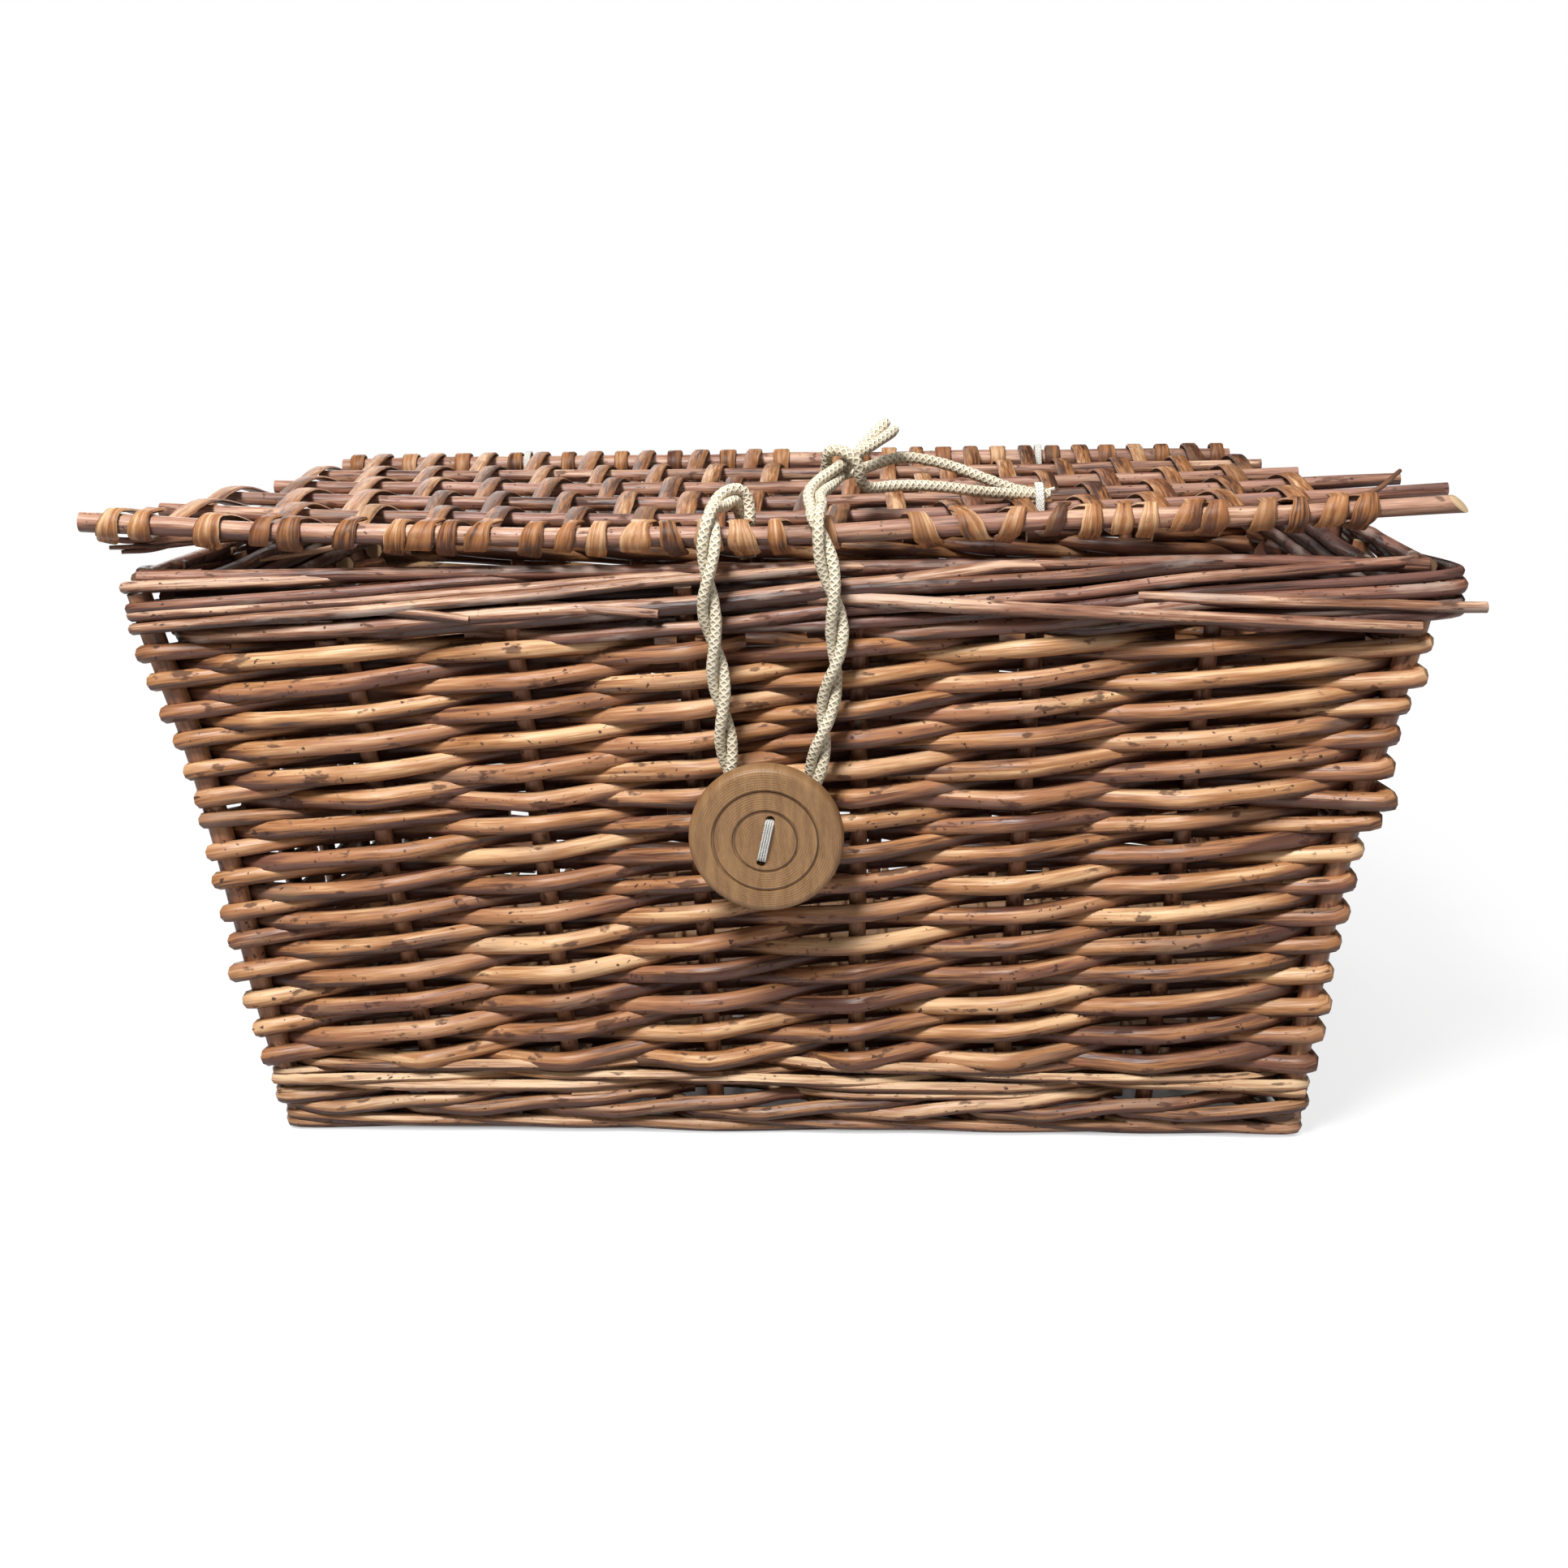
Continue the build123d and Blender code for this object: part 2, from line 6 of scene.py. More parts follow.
import logging
import math
import random
from collections.abc import Sequence
from dataclasses import dataclass, field
from enum import Enum
from functools import cache

import bpy
from mathutils import Matrix, Vector

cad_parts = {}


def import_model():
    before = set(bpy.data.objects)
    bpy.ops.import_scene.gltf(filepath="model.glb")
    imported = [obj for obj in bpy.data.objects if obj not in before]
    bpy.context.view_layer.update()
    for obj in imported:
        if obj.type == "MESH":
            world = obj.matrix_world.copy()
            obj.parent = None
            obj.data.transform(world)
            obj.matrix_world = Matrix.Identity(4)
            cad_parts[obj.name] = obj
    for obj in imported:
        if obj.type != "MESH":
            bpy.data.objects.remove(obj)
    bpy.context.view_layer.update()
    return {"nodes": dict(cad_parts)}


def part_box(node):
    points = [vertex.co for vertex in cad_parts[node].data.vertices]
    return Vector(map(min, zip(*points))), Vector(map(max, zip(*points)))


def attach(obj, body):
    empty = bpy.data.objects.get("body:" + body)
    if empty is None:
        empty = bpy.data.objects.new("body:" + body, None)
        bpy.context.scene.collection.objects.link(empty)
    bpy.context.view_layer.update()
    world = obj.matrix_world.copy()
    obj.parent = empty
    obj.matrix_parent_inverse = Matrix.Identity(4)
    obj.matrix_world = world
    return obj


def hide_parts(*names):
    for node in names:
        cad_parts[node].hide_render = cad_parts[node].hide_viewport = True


log = logging.getLogger("basket")

Colour = tuple[float, float, float]
Opaque = tuple[float, float, float, float]
Point = tuple[float, float, float]
Knot = tuple[Vector, Vector]
Socket = bpy.types.NodeSocket
Value = Socket | float
Tint = Socket | Opaque
Tree = bpy.types.NodeTree
Material = bpy.types.Material
Piece = bpy.types.Object

WHITE: Opaque = (1.0, 1.0, 1.0, 1.0)


class Wall(Enum):
    """The four walls, in the order in which the rods go round."""

    FRONT = 0
    RIGHT = 1
    BACK = 2
    LEFT = 3

    @property
    def is_long(self) -> bool:
        """Whether it is the front or the back wall."""
        return self in (Wall.FRONT, Wall.BACK)


class Body(Enum):
    """The bodies that pieces ride on."""

    BASKET = "basket"
    LID = "lid"
    BUTTON = "button"
    LOOP = "closure_loop"


class Grain(Enum):
    """The direction along which a straight stick's grain runs."""

    X = "Along X"
    Y = "Along Y"
    Z = "Along Z"


class Maths(Enum):
    """Operations of a Math node."""

    ADD = "ADD"
    SUBTRACT = "SUBTRACT"
    MULTIPLY = "MULTIPLY"
    MAXIMUM = "MAXIMUM"
    ABSOLUTE = "ABSOLUTE"
    SINE = "SINE"


class Lighting(Enum):
    """Names of the studio lamps."""

    KEY = "key"
    FILL = "fill"
    BACK = "back"
    TOP = "top"


def claim(piece: Piece, body: Body, slot: str, *nodes: str) -> None:
    """Lets a piece ride on a body and puts it in the place of solids.

    Args:
        piece: the piece.
        body: the body that it moves with.
        slot: its material slot; not used.
        *nodes: names of the solids that it stands for, none for a piece that has no solid.
    """
    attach(piece, body.value)
    if nodes:
        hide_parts(*nodes)


def dress(solid: Piece, material: Material) -> None:
    """Gives a solid of the frame a material.

    Args:
        solid: the solid.
        material: the material.
    """
    solid.data.materials.clear()
    solid.data.materials.append(material)
    log.info("%s dressed with %s", solid.name, material.name)


# ---------------------------------------------------------------- finishes


def opaque(colour: Colour) -> Opaque:
    """A colour with full alpha."""
    return (*colour, 1.0)


def fed_node(tree: Tree, kind: str, *sources: Socket, **settings: object) -> bpy.types.Node:
    """Adds a node, sets its properties and links sockets to its first inputs.

    Args:
        tree: the node tree.
        kind: the node's type name.
        *sources: sockets for its inputs, in order.
        **settings: properties of the node.

    Returns:
        The new node.
    """
    node = tree.nodes.new(kind)
    for key, setting in settings.items():
        setattr(node, key, setting)
    for source, socket in zip(sources, node.inputs):
        tree.links.new(source, socket)
    return node


def maths(tree: Tree, operation: Maths, first: Value, second: Value = 0.0) -> Socket:
    """Adds a Math node between sockets or numbers.

    Args:
        tree: the node tree.
        operation: what the node does.
        first: a socket or a number.
        second: a socket or a number.

    Returns:
        The node's output socket.
    """
    node = fed_node(tree, "ShaderNodeMath", operation=operation.value)
    for socket, given in zip(node.inputs, (first, second)):
        if isinstance(given, (int, float)):
            socket.default_value = given
        else:
            tree.links.new(given, socket)
    return node.outputs[0]


def plus(tree: Tree, first: Value, second: Value) -> Socket:
    """Adds two values."""
    return maths(tree, Maths.ADD, first, second)


def minus(tree: Tree, first: Value, second: Value) -> Socket:
    """Takes the second value from the first."""
    return maths(tree, Maths.SUBTRACT, first, second)


def times(tree: Tree, first: Value, second: Value) -> Socket:
    """Multiplies two values."""
    return maths(tree, Maths.MULTIPLY, first, second)


def blended(tree: Tree, factor: Value, low: Tint, high: Tint) -> Socket:
    """Mixes two colours.

    Args:
        tree: the node tree.
        factor: a socket or a number, 0 for the low colour.
        low: a socket or an RGBA colour.
        high: a socket or an RGBA colour.

    Returns:
        The mixed colour's socket.
    """
    node = fed_node(tree, "ShaderNodeMix", data_type="RGBA")
    factor_input, low_input, high_input = (node.inputs[number] for number in (0, 6, 7))
    for socket, given in ((factor_input, factor), (low_input, low), (high_input, high)):
        if isinstance(given, Socket):
            tree.links.new(given, socket)
        else:
            socket.default_value = given
    return node.outputs[2]


def ramped(tree: Tree, source: Socket, low: float, high: float) -> Socket:
    """Spreads a value from low..high to 0..1, smoothly.

    Args:
        tree: the node tree.
        source: the value's socket.
        low: the value that becomes 0.
        high: the value that becomes 1.

    Returns:
        The new value's socket.
    """
    node = fed_node(tree, "ShaderNodeMapRange", source, interpolation_type="SMOOTHSTEP")
    node.inputs["From Min"].default_value = low
    node.inputs["From Max"].default_value = high
    return node.outputs["Result"]


def noise(tree: Tree, vector: Socket, stretch: Point, detail: float = 3.0, turn: float = 0.0) -> Socket:
    """Adds a stretched noise.

    Args:
        tree: the node tree.
        vector: the coordinates' socket.
        stretch: scale along each coordinate.
        detail: octaves of the noise.
        turn: turn of the coordinates about Z, in radians.

    Returns:
        The noise's value socket.
    """
    mapping = fed_node(tree, "ShaderNodeMapping", vector)
    mapping.inputs["Scale"].default_value = stretch
    mapping.inputs["Rotation"].default_value = (0.0, 0.0, turn)
    node = fed_node(tree, "ShaderNodeTexNoise", mapping.outputs[0])
    node.inputs["Scale"].default_value = 1.0
    node.inputs["Detail"].default_value = detail
    return node.outputs[0]


def new_group(name: str, colours: Sequence[str], numbers: Sequence[str]) -> Tree:
    """Starts a shader node group that gives a surface's colour, roughness and height.

    Args:
        name: the group's name.
        colours: names of its colour inputs.
        numbers: names of its number inputs.

    Returns:
        The group's node tree, with its input and output nodes named "in" and "out".
    """
    group = bpy.data.node_groups.new(name, "ShaderNodeTree")
    colour, number = "NodeSocketColor", "NodeSocketFloat"
    sockets = [(label, "INPUT", colour) for label in colours]
    sockets += [(label, "INPUT", number) for label in numbers]
    sockets += [("Color", "OUTPUT", colour), ("Roughness", "OUTPUT", number), ("Height", "OUTPUT", number)]
    for label, way, kind in sockets:
        group.interface.new_socket(name=label, in_out=way, socket_type=kind)
    fed_node(group, "NodeGroupInput", name="in")
    fed_node(group, "NodeGroupOutput", name="out")
    return group


@cache
def rod_surface_group() -> Tree:
    """The surface of a willow rod or strip: tone from rod to rod with painted shade in it, streaks, specks
    and cut ends.

    Returns:
        The node group, made once.
    """
    tree = new_group(
        "rod_surface",
        colours=("Pale", "Middle", "Dark", "Blush", "Core", "Worn"),
        numbers=("Blush Share", "Worn Share", "Specks", "Fibre", "Roughness"),
    )
    speck_tint, scar_tint = (0.035, 0.014, 0.01), (0.055, 0.022, 0.014)
    given = tree.nodes["in"].outputs
    links = tree.links
    rod = fed_node(tree, "ShaderNodeAttribute", attribute_name="rod")
    # The first channel is each rod's paleness, with painted shade on undersides and inside the wall already
    # in it.
    tone, blush, seed = fed_node(tree, "ShaderNodeSeparateColor", rod.outputs["Color"]).outputs
    place = fed_node(tree, "ShaderNodeUVMap", uv_map="along")
    along, around, _ = fed_node(tree, "ShaderNodeSeparateXYZ", place.outputs[0]).outputs
    vector = fed_node(tree, "ShaderNodeCombineXYZ", along, around, times(tree, seed, 90.0)).outputs[0]
    streak = noise(tree, vector, (0.35, 6.0, 1.0), 5.0)
    fibre = noise(tree, vector, (1.1, 26.0, 1.0), 2.0)
    patch = noise(tree, vector, (0.16, 1.2, 1.0), 2.0)
    speck = noise(tree, vector, (5.0, 9.0, 1.0), 2.0)
    scar = noise(tree, vector, (1.3, 4.0, 1.0), 4.0)
    level = times(tree, tone, 0.5)
    for layer, weight in ((patch, 1.5), (streak, 1.3)):
        level = plus(tree, level, times(tree, minus(tree, layer, 0.5), weight))
    fine = times(tree, minus(tree, fibre, 0.5), given["Fibre"])
    level = plus(tree, plus(tree, level, fine), 0.27)
    low = blended(tree, ramped(tree, level, 0.0, 0.5), given["Dark"], given["Middle"])
    tint = blended(tree, ramped(tree, level, 0.42, 1.0), low, given["Pale"])
    share = times(tree, blush, given["Blush Share"])
    share = times(tree, share, ramped(tree, noise(tree, vector, (0.22, 2.0, 1.3)), 0.36, 0.6))
    tint = blended(tree, share, tint, given["Blush"])
    worn = ramped(tree, noise(tree, vector, (0.28, 1.3, 1.7), 4.0), 0.56, 0.68)
    tint = blended(tree, times(tree, worn, given["Worn Share"]), tint, given["Worn"])
    area = ramped(tree, noise(tree, vector, (0.3, 0.8, 2.1), 1.0), 0.42, 0.6)
    dots = times(tree, ramped(tree, speck, 0.64, 0.7), given["Specks"])
    dots = times(tree, dots, area)
    tint = blended(tree, dots, tint, opaque(speck_tint))
    marks = times(tree, ramped(tree, scar, 0.61, 0.68), given["Specks"])
    tint = blended(tree, times(tree, marks, 0.85), tint, opaque(scar_tint))
    cut = minus(tree, 1.0, rod.outputs["Alpha"])
    tint = blended(tree, cut, tint, given["Core"])
    out = tree.nodes["out"].inputs
    links.new(tint, out["Color"])
    rough = plus(tree, times(tree, streak, 0.3), given["Roughness"])
    rough = plus(tree, rough, times(tree, maths(tree, Maths.MAXIMUM, dots, marks), 0.4))
    links.new(plus(tree, rough, times(tree, worn, 0.15)), out["Roughness"])
    bumps = plus(tree, times(tree, fibre, 0.5), times(tree, streak, 0.7))
    links.new(bumps, out["Height"])
    return tree


@cache
def stick_surface_group() -> Tree:
    """The surface of a straight stick, with its grain along one direction of the object.

    Returns:
        The node group, made once.
    """
    tree = new_group("stick_surface", colours=("Pale", "Dark"), numbers=[grain.value for grain in Grain])
    given = tree.nodes["in"].outputs
    links = tree.links
    place = fed_node(tree, "ShaderNodeTexCoord")
    split = fed_node(tree, "ShaderNodeSeparateXYZ", place.outputs["Object"])
    across_scale, along_scale = 900.0, 40.0
    scaled = []
    for axis, grain in zip(split.outputs, Grain):
        scale = minus(tree, across_scale, times(tree, given[grain.value], across_scale - along_scale))
        scaled.append(times(tree, axis, scale))
    vector = fed_node(tree, "ShaderNodeCombineXYZ", *scaled).outputs[0]
    streak = noise(tree, vector, (1.0, 1.0, 1.0))
    patch = noise(tree, vector, (0.16, 0.16, 0.16), 2.0)
    level = plus(tree, times(tree, streak, 0.6), times(tree, patch, 0.7))
    tint = blended(tree, ramped(tree, level, 0.35, 0.95), given["Dark"], given["Pale"])
    out = tree.nodes["out"].inputs
    links.new(tint, out["Color"])
    links.new(plus(tree, times(tree, streak, 0.25), 0.4), out["Roughness"])
    links.new(streak, out["Height"])
    return tree


@cache
def cord_surface_group() -> Tree:
    """The surface of a plaited cotton strand: slanted stitches that cross, a little dirt, and painted shade
    in the grooves between the stitches.

    Returns:
        The node group, made once.
    """
    tree = new_group("cord_surface", colours=("Clean", "Soiled"), numbers=("Stitches", "Dirt"))
    given = tree.nodes["in"].outputs
    links = tree.links
    stitches_around = 4.0
    place = fed_node(tree, "ShaderNodeUVMap", uv_map="along")
    along, around, _ = fed_node(tree, "ShaderNodeSeparateXYZ", place.outputs[0]).outputs
    along, around = times(tree, along, given["Stitches"]), times(tree, around, stitches_around)
    waves = []
    for sign in (1.0, -1.0):
        phase = plus(tree, along, times(tree, around, sign))
        waves.append(maths(tree, Maths.SINE, times(tree, phase, 2 * math.pi)))
    plait = ramped(tree, maths(tree, Maths.MAXIMUM, *waves), -0.6, 1.0)
    fuzz = noise(tree, place.outputs[0], (9.0, 9.0, 9.0), 3.0)
    dirt = noise(tree, place.outputs[0], (0.5, 1.5, 1.0), 3.0)
    shade = times(tree, ramped(tree, dirt, 0.35, 0.7), given["Dirt"])
    # Painted shade: the grooves between the stitches are darkened towards the dirt colour.
    shade = plus(tree, shade, times(tree, minus(tree, 1.0, plait), 0.55))
    shade = plus(tree, shade, times(tree, minus(tree, fuzz, 0.5), 0.5))
    soiled = fed_node(tree, "ShaderNodeClamp", shade).outputs[0]
    out = tree.nodes["out"].inputs
    links.new(blended(tree, soiled, given["Clean"], given["Soiled"]), out["Color"])
    links.new(plus(tree, times(tree, fuzz, 0.1), 0.82), out["Roughness"])
    links.new(plus(tree, plait, times(tree, fuzz, 0.4)), out["Height"])
    return tree


def dressed_material(
    name: str, group: Tree, values: dict[str, float | Opaque], bump: float, specular: float
) -> Material:
    """A material whose colour, roughness and height come from a node group.

    Args:
        name: the material's name.
        group: the node group.
        values: input name to its value.
        bump: the bump's distance in metres.
        specular: the shader's specular level.

    Returns:
        The material.
    """
    material = bpy.data.materials.new(name)
    material.use_nodes = True
    tree = material.node_tree
    shader = tree.nodes["Principled BSDF"]
    shader.inputs["Specular IOR Level"].default_value = specular
    surface = fed_node(tree, "ShaderNodeGroup", node_tree=group)
    for label, setting in values.items():
        surface.inputs[label].default_value = setting
    raised = fed_node(tree, "ShaderNodeBump")
    raised.inputs["Strength"].default_value = 1.0
    raised.inputs["Distance"].default_value = bump
    tree.links.new(surface.outputs["Color"], shader.inputs["Base Color"])
    tree.links.new(surface.outputs["Roughness"], shader.inputs["Roughness"])
    tree.links.new(surface.outputs["Height"], raised.inputs["Height"])
    tree.links.new(raised.outputs[0], shader.inputs["Normal"])
    return material


@dataclass(frozen=True)
class RodFinish:
    """Finish of willow rods and strips that carry their own tone."""

    name: str
    pale: Colour = (0.70, 0.44, 0.235)
    middle: Colour = (0.36, 0.16, 0.062)
    dark: Colour = (0.045, 0.013, 0.006)
    blush: Colour = (0.31, 0.13, 0.085)
    worn: Colour = (0.30, 0.19, 0.125)
    core: Colour = (0.42, 0.27, 0.15)
    blush_share: float = 0.4
    worn_share: float = 0.35
    specks: float = 0.9
    fibre: float = 0.8
    roughness: float = 0.28
    bump: float = 0.00032
    specular: float = 0.38

    def material(self) -> Material:
        """The finish as a material.

        Returns:
            The material.
        """
        values = {
            "Pale": opaque(self.pale),
            "Middle": opaque(self.middle),
            "Dark": opaque(self.dark),
            "Blush": opaque(self.blush),
            "Worn": opaque(self.worn),
            "Core": opaque(self.core),
            "Blush Share": self.blush_share,
            "Worn Share": self.worn_share,
            "Specks": self.specks,
            "Fibre": self.fibre,
            "Roughness": self.roughness,
        }
        return dressed_material(self.name, rod_surface_group(), values, self.bump, self.specular)


@dataclass(frozen=True)
class StickFinish:
    """Finish of straight sticks that keep their solid shape."""

    name: str
    grain: Grain
    pale: Colour = (0.46, 0.26, 0.13)
    dark: Colour = (0.16, 0.07, 0.04)
    bump: float = 0.0002
    specular: float = 0.4

    def material(self) -> Material:
        """The finish as a material."""
        values = {"Pale": opaque(self.pale), "Dark": opaque(self.dark), self.grain.value: 1.0}
        return dressed_material(self.name, stick_surface_group(), values, self.bump, self.specular)


@dataclass(frozen=True)
class CordFinish:
    """Finish of cotton cords and threads."""

    name: str
    clean: Colour = (0.76, 0.69, 0.54)
    soiled: Colour = (0.42, 0.35, 0.235)
    stitches: float = 5.5
    dirt: float = 0.5
    bump: float = 0.0004
    specular: float = 0.2

    def material(self) -> Material:
        """The finish as a material.

        Returns:
            The material.
        """
        values = {
            "Clean": opaque(self.clean),
            "Soiled": opaque(self.soiled),
            "Stitches": self.stitches,
            "Dirt": self.dirt,
        }
        return dressed_material(self.name, cord_surface_group(), values, self.bump, self.specular)


@dataclass(frozen=True)
class ButtonFinish:
    """Finish of the turned wooden button: slanted grain, turned grooves darkened as painted shade, and a soft
    shine.

    Each shaded groove has a radius and a half width. Painted shade darkens the rim between two radii.
    """

    name: str
    centre: Point
    lean: float
    pale: Colour = (0.34, 0.19, 0.083)
    dark: Colour = (0.18, 0.09, 0.036)
    # The line colour is the painted shade in the turned grooves.
    line: Colour = (0.07, 0.03, 0.014)
    groove_shade_lines: tuple[tuple[float, float], ...] = ((0.01375, 0.0003), (0.00825, 0.00028))
    painted_rim_shade: tuple[float, float] = (0.0188, 0.0204)
    tool_marks: float = 9500.0
    grain_turn: float = 0.5
    bump: float = 0.00012
    specular: float = 0.4

    def material(self) -> Material:
        """The finish as a material.

        Returns:
            The material.
        """
        material = bpy.data.materials.new(self.name)
        material.use_nodes = True
        tree = material.node_tree
        links = tree.links
        place = fed_node(tree, "ShaderNodeTexCoord").outputs["Object"]
        centred = fed_node(tree, "ShaderNodeVectorMath", place, operation="SUBTRACT")
        centred.inputs[1].default_value = self.centre
        turned = fed_node(tree, "ShaderNodeMapping", centred.outputs[0], vector_type="POINT")
        turned.inputs["Rotation"].default_value = (-self.lean, 0.0, 0.0)
        across, _, above = fed_node(tree, "ShaderNodeSeparateXYZ", turned.outputs[0]).outputs
        face = fed_node(tree, "ShaderNodeCombineXYZ", across, above).outputs[0]
        radius = fed_node(tree, "ShaderNodeVectorMath", face, operation="LENGTH").outputs["Value"]
        grain = noise(tree, face, (420.0, 70.0, 1.0), 4.0, self.grain_turn)
        pores = noise(tree, face, (2600.0, 500.0, 1.0), 2.0, self.grain_turn)
        level = plus(tree, times(tree, grain, 0.8), times(tree, pores, 0.35))
        tint = blended(tree, ramped(tree, level, 0.3, 0.85), opaque(self.dark), opaque(self.pale))
        turning = maths(tree, Maths.SINE, times(tree, radius, self.tool_marks))
        for middle, half in self.groove_shade_lines:
            # Painted shade in each turned groove.
            away = maths(tree, Maths.ABSOLUTE, minus(tree, radius, middle))
            near = minus(tree, 1.0, ramped(tree, away, half * 0.4, half))
            tint = blended(tree, times(tree, near, 0.8), tint, opaque(self.line))
        # Painted shade towards the button's edge.
        rim = ramped(tree, radius, *self.painted_rim_shade)
        tint = blended(tree, times(tree, rim, 0.35), tint, opaque(self.dark))
        shader = tree.nodes["Principled BSDF"]
        shader.inputs["Specular IOR Level"].default_value = self.specular
        links.new(tint, shader.inputs["Base Color"])
        links.new(plus(tree, times(tree, grain, 0.2), 0.38), shader.inputs["Roughness"])
        raised = fed_node(tree, "ShaderNodeBump")
        raised.inputs["Distance"].default_value = self.bump
        height = plus(tree, pores, times(tree, turning, 0.25))
        links.new(height, raised.inputs["Height"])
        links.new(raised.outputs[0], shader.inputs["Normal"])
        return material


# ---------------------------------------------------------------- shapes

TEXTURE_SCALE = 100  # texture units for each metre along a rod
END_STEP = 0.1  # texture units from one corner of a cut end to the next
END_ROW = 0.5  # where a cut end lies across the texture
SHADE_START = 0.15  # upward part of a direction, below which a rod's colour gets painted shade
STEEP = 0.9  # upward part of a direction, from which a rod counts as upright
SMOOTH_ANGLE = math.radians(50)


@dataclass
class Tone:
    """Colour of one rod: how pale and how pink it is, and where its grain starts."""

    pale: float
    blush: float
    seed: float

    @staticmethod
    def drawn(draw: random.Random, low: float = 0.0, high: float = 1.0, blush: float = 1.0) -> "Tone":
        """A tone drawn at random.

        Args:
            draw: the seeded source.
            low: darkest paleness.
            high: palest paleness.
            blush: largest share of pink.

        Returns:
            The tone.
        """
        return Tone(draw.uniform(low, high), draw.uniform(0.0, blush), draw.random())


@dataclass
class SweptMesh:
    """Collects rods and strips swept along lines, and makes one object of them.

    The painted underside shade is how much darker a rod's colour is painted below than above.
    """

    name: str
    painted_underside_shade: float = 0.0
    points: list[Vector] = field(default_factory=list)
    faces: list[tuple[int, ...]] = field(default_factory=list)
    places: list[tuple[float, float]] = field(default_factory=list)
    tones: list[tuple[float, float, float, float]] = field(default_factory=list)

    def sweep(
        self,
        line: list[Vector],
        profile: Sequence[tuple[float, float]],
        sizes: list[tuple[float, float]],
        rights: list[Vector],
        tone: Tone,
        pales: list[float] | None = None,
    ) -> None:
        """Adds one closed shape along a line.

        Args:
            line: the points of its middle line.
            profile: the section's corners, counter-clockwise, in half sizes.
            sizes: half width and half height of the section at each point.
            rights: direction of the section's width at each point.
            tone: its colour.
            pales: paleness at each point, where it changes along the line.
        """
        sides = len(profile)
        start = len(self.points)
        run = [0.0]
        shades: list[list[float]] = []
        for index, here in enumerate(line):
            if index:
                run.append(run[-1] + (here - line[index - 1]).length)
            ahead = line[min(index + 1, len(line) - 1)] - line[max(index - 1, 0)]
            ahead.normalize()
            right = (rights[index] - ahead * rights[index].dot(ahead)).normalized()
            up = right.cross(ahead)
            wide, high = sizes[index]
            level = pales[index] if pales else tone.pale
            shades.append([])
            for across, above in profile:
                away = right * (across * wide) + up * (above * high)
                self.points.append(here + away)
                # Painted shade: the corners of the section that face down are darkened in colour.
                below = max(0.0, SHADE_START - away.normalized().z)
                shades[-1].append(level - self.painted_underside_shade * min(1.0, below))
        for index in range(len(line) - 1):
            low = start + index * sides
            for side in range(sides):
                after = (side + 1) % sides
                self.faces.append((low + side, low + sides + side, low + sides + after, low + after))
                v0, v1 = side / sides, (side + 1) / sides
                u0, u1 = run[index] * TEXTURE_SCALE, run[index + 1] * TEXTURE_SCALE
                self.places += [(u0, v0), (u1, v0), (u1, v1), (u0, v1)]
                one, two = shades[index], shades[index + 1]
                for pale in (one[side], two[side], two[after], one[after]):
                    self.tones.append((pale, tone.blush, tone.seed, 1.0))
        last = start + (len(line) - 1) * sides
        for ring in ([start + n for n in range(sides)], [last + n for n in range(sides)][::-1]):
            self.faces.append(tuple(ring))
            for number in range(sides):
                self.places.append((number * END_STEP, END_ROW))
                self.tones.append((tone.pale, tone.blush, tone.seed, 0.0))

    def rod(
        self,
        line: list[Vector],
        radii: list[float],
        tone: Tone,
        sides: int = 8,
        turn: float = 0.0,
        pales: list[float] | None = None,
    ) -> None:
        """Adds a round rod.

        Args:
            line: the points of its middle line.
            radii: its radius at each point.
            tone: its colour.
            sides: corners of its section.
            turn: turn of the section, in radians.
            pales: paleness at each point, where it changes along the rod.
        """
        profile = []
        for side in range(sides):
            angle = turn + 2 * math.pi * side / sides
            profile.append((math.cos(angle), math.sin(angle)))
        ahead = (line[1] - line[0]).normalized()
        right = ahead.orthogonal().normalized()
        if abs(ahead.z) < STEEP:
            right = ahead.cross(Vector((0.0, 0.0, 1.0))).normalized()
        rights = []
        for index in range(len(line)):
            now = line[min(index + 1, len(line) - 1)] - line[max(index - 1, 0)]
            now.normalize()
            right = (right - now * right.dot(now)).normalized()
            rights.append(right)
        self.sweep(line, profile, [(radius, radius) for radius in radii], rights, tone, pales)

    def cut_end(self, sides: int, back: Vector, facing: Vector) -> None:
        """Cuts the last rod's end at a slant.

        Args:
            sides: corners of the rod's section.
            back: direction from the end back along the rod.
            facing: direction that the cut faces, longer for a steeper cut.
        """
        ring = self.points[-sides:]
        centre = sum(ring, Vector()) / sides
        for index, place in enumerate(ring):
            self.points[index - sides] = place + back * facing.dot(place - centre)

    def built(self, material: Material) -> Piece:
        """Makes the object, at the origin.

        Args:
            material: its material.

        Returns:
            The object.
        """
        mesh = bpy.data.meshes.new(self.name)
        mesh.from_pydata([tuple(point) for point in self.points], [], self.faces)
        layer = mesh.uv_layers.new(name="along")
        layer.data.foreach_set("uv", [part for place in self.places for part in place])
        tint = mesh.attributes.new("rod", "FLOAT_COLOR", "CORNER")
        tint.data.foreach_set("color", [part for tone in self.tones for part in tone])
        mesh.materials.append(material)
        mesh.validate()
        mesh.update()
        piece = bpy.data.objects.new(self.name, mesh)
        bpy.context.scene.collection.objects.link(piece)
        bpy.ops.object.select_all(action="DESELECT")
        piece.select_set(True)
        bpy.context.view_layer.objects.active = piece
        bpy.ops.object.shade_smooth_by_angle(angle=SMOOTH_ANGLE)
        log.info("%s: %d faces", self.name, len(mesh.polygons))
        return piece


def tapered(line: list[Vector], size: float, thick: float, loss: float) -> list[float]:
    """Radii of a rod that gets thinner towards its end.

    Args:
        line: the rod's points.
        size: its usual radius.
        thick: share of that radius at the start.
        loss: how much of that share is lost along the rod.

    Returns:
        The radius at each point.
    """
    return [size * (thick - loss * index / len(line)) for index in range(len(line))]


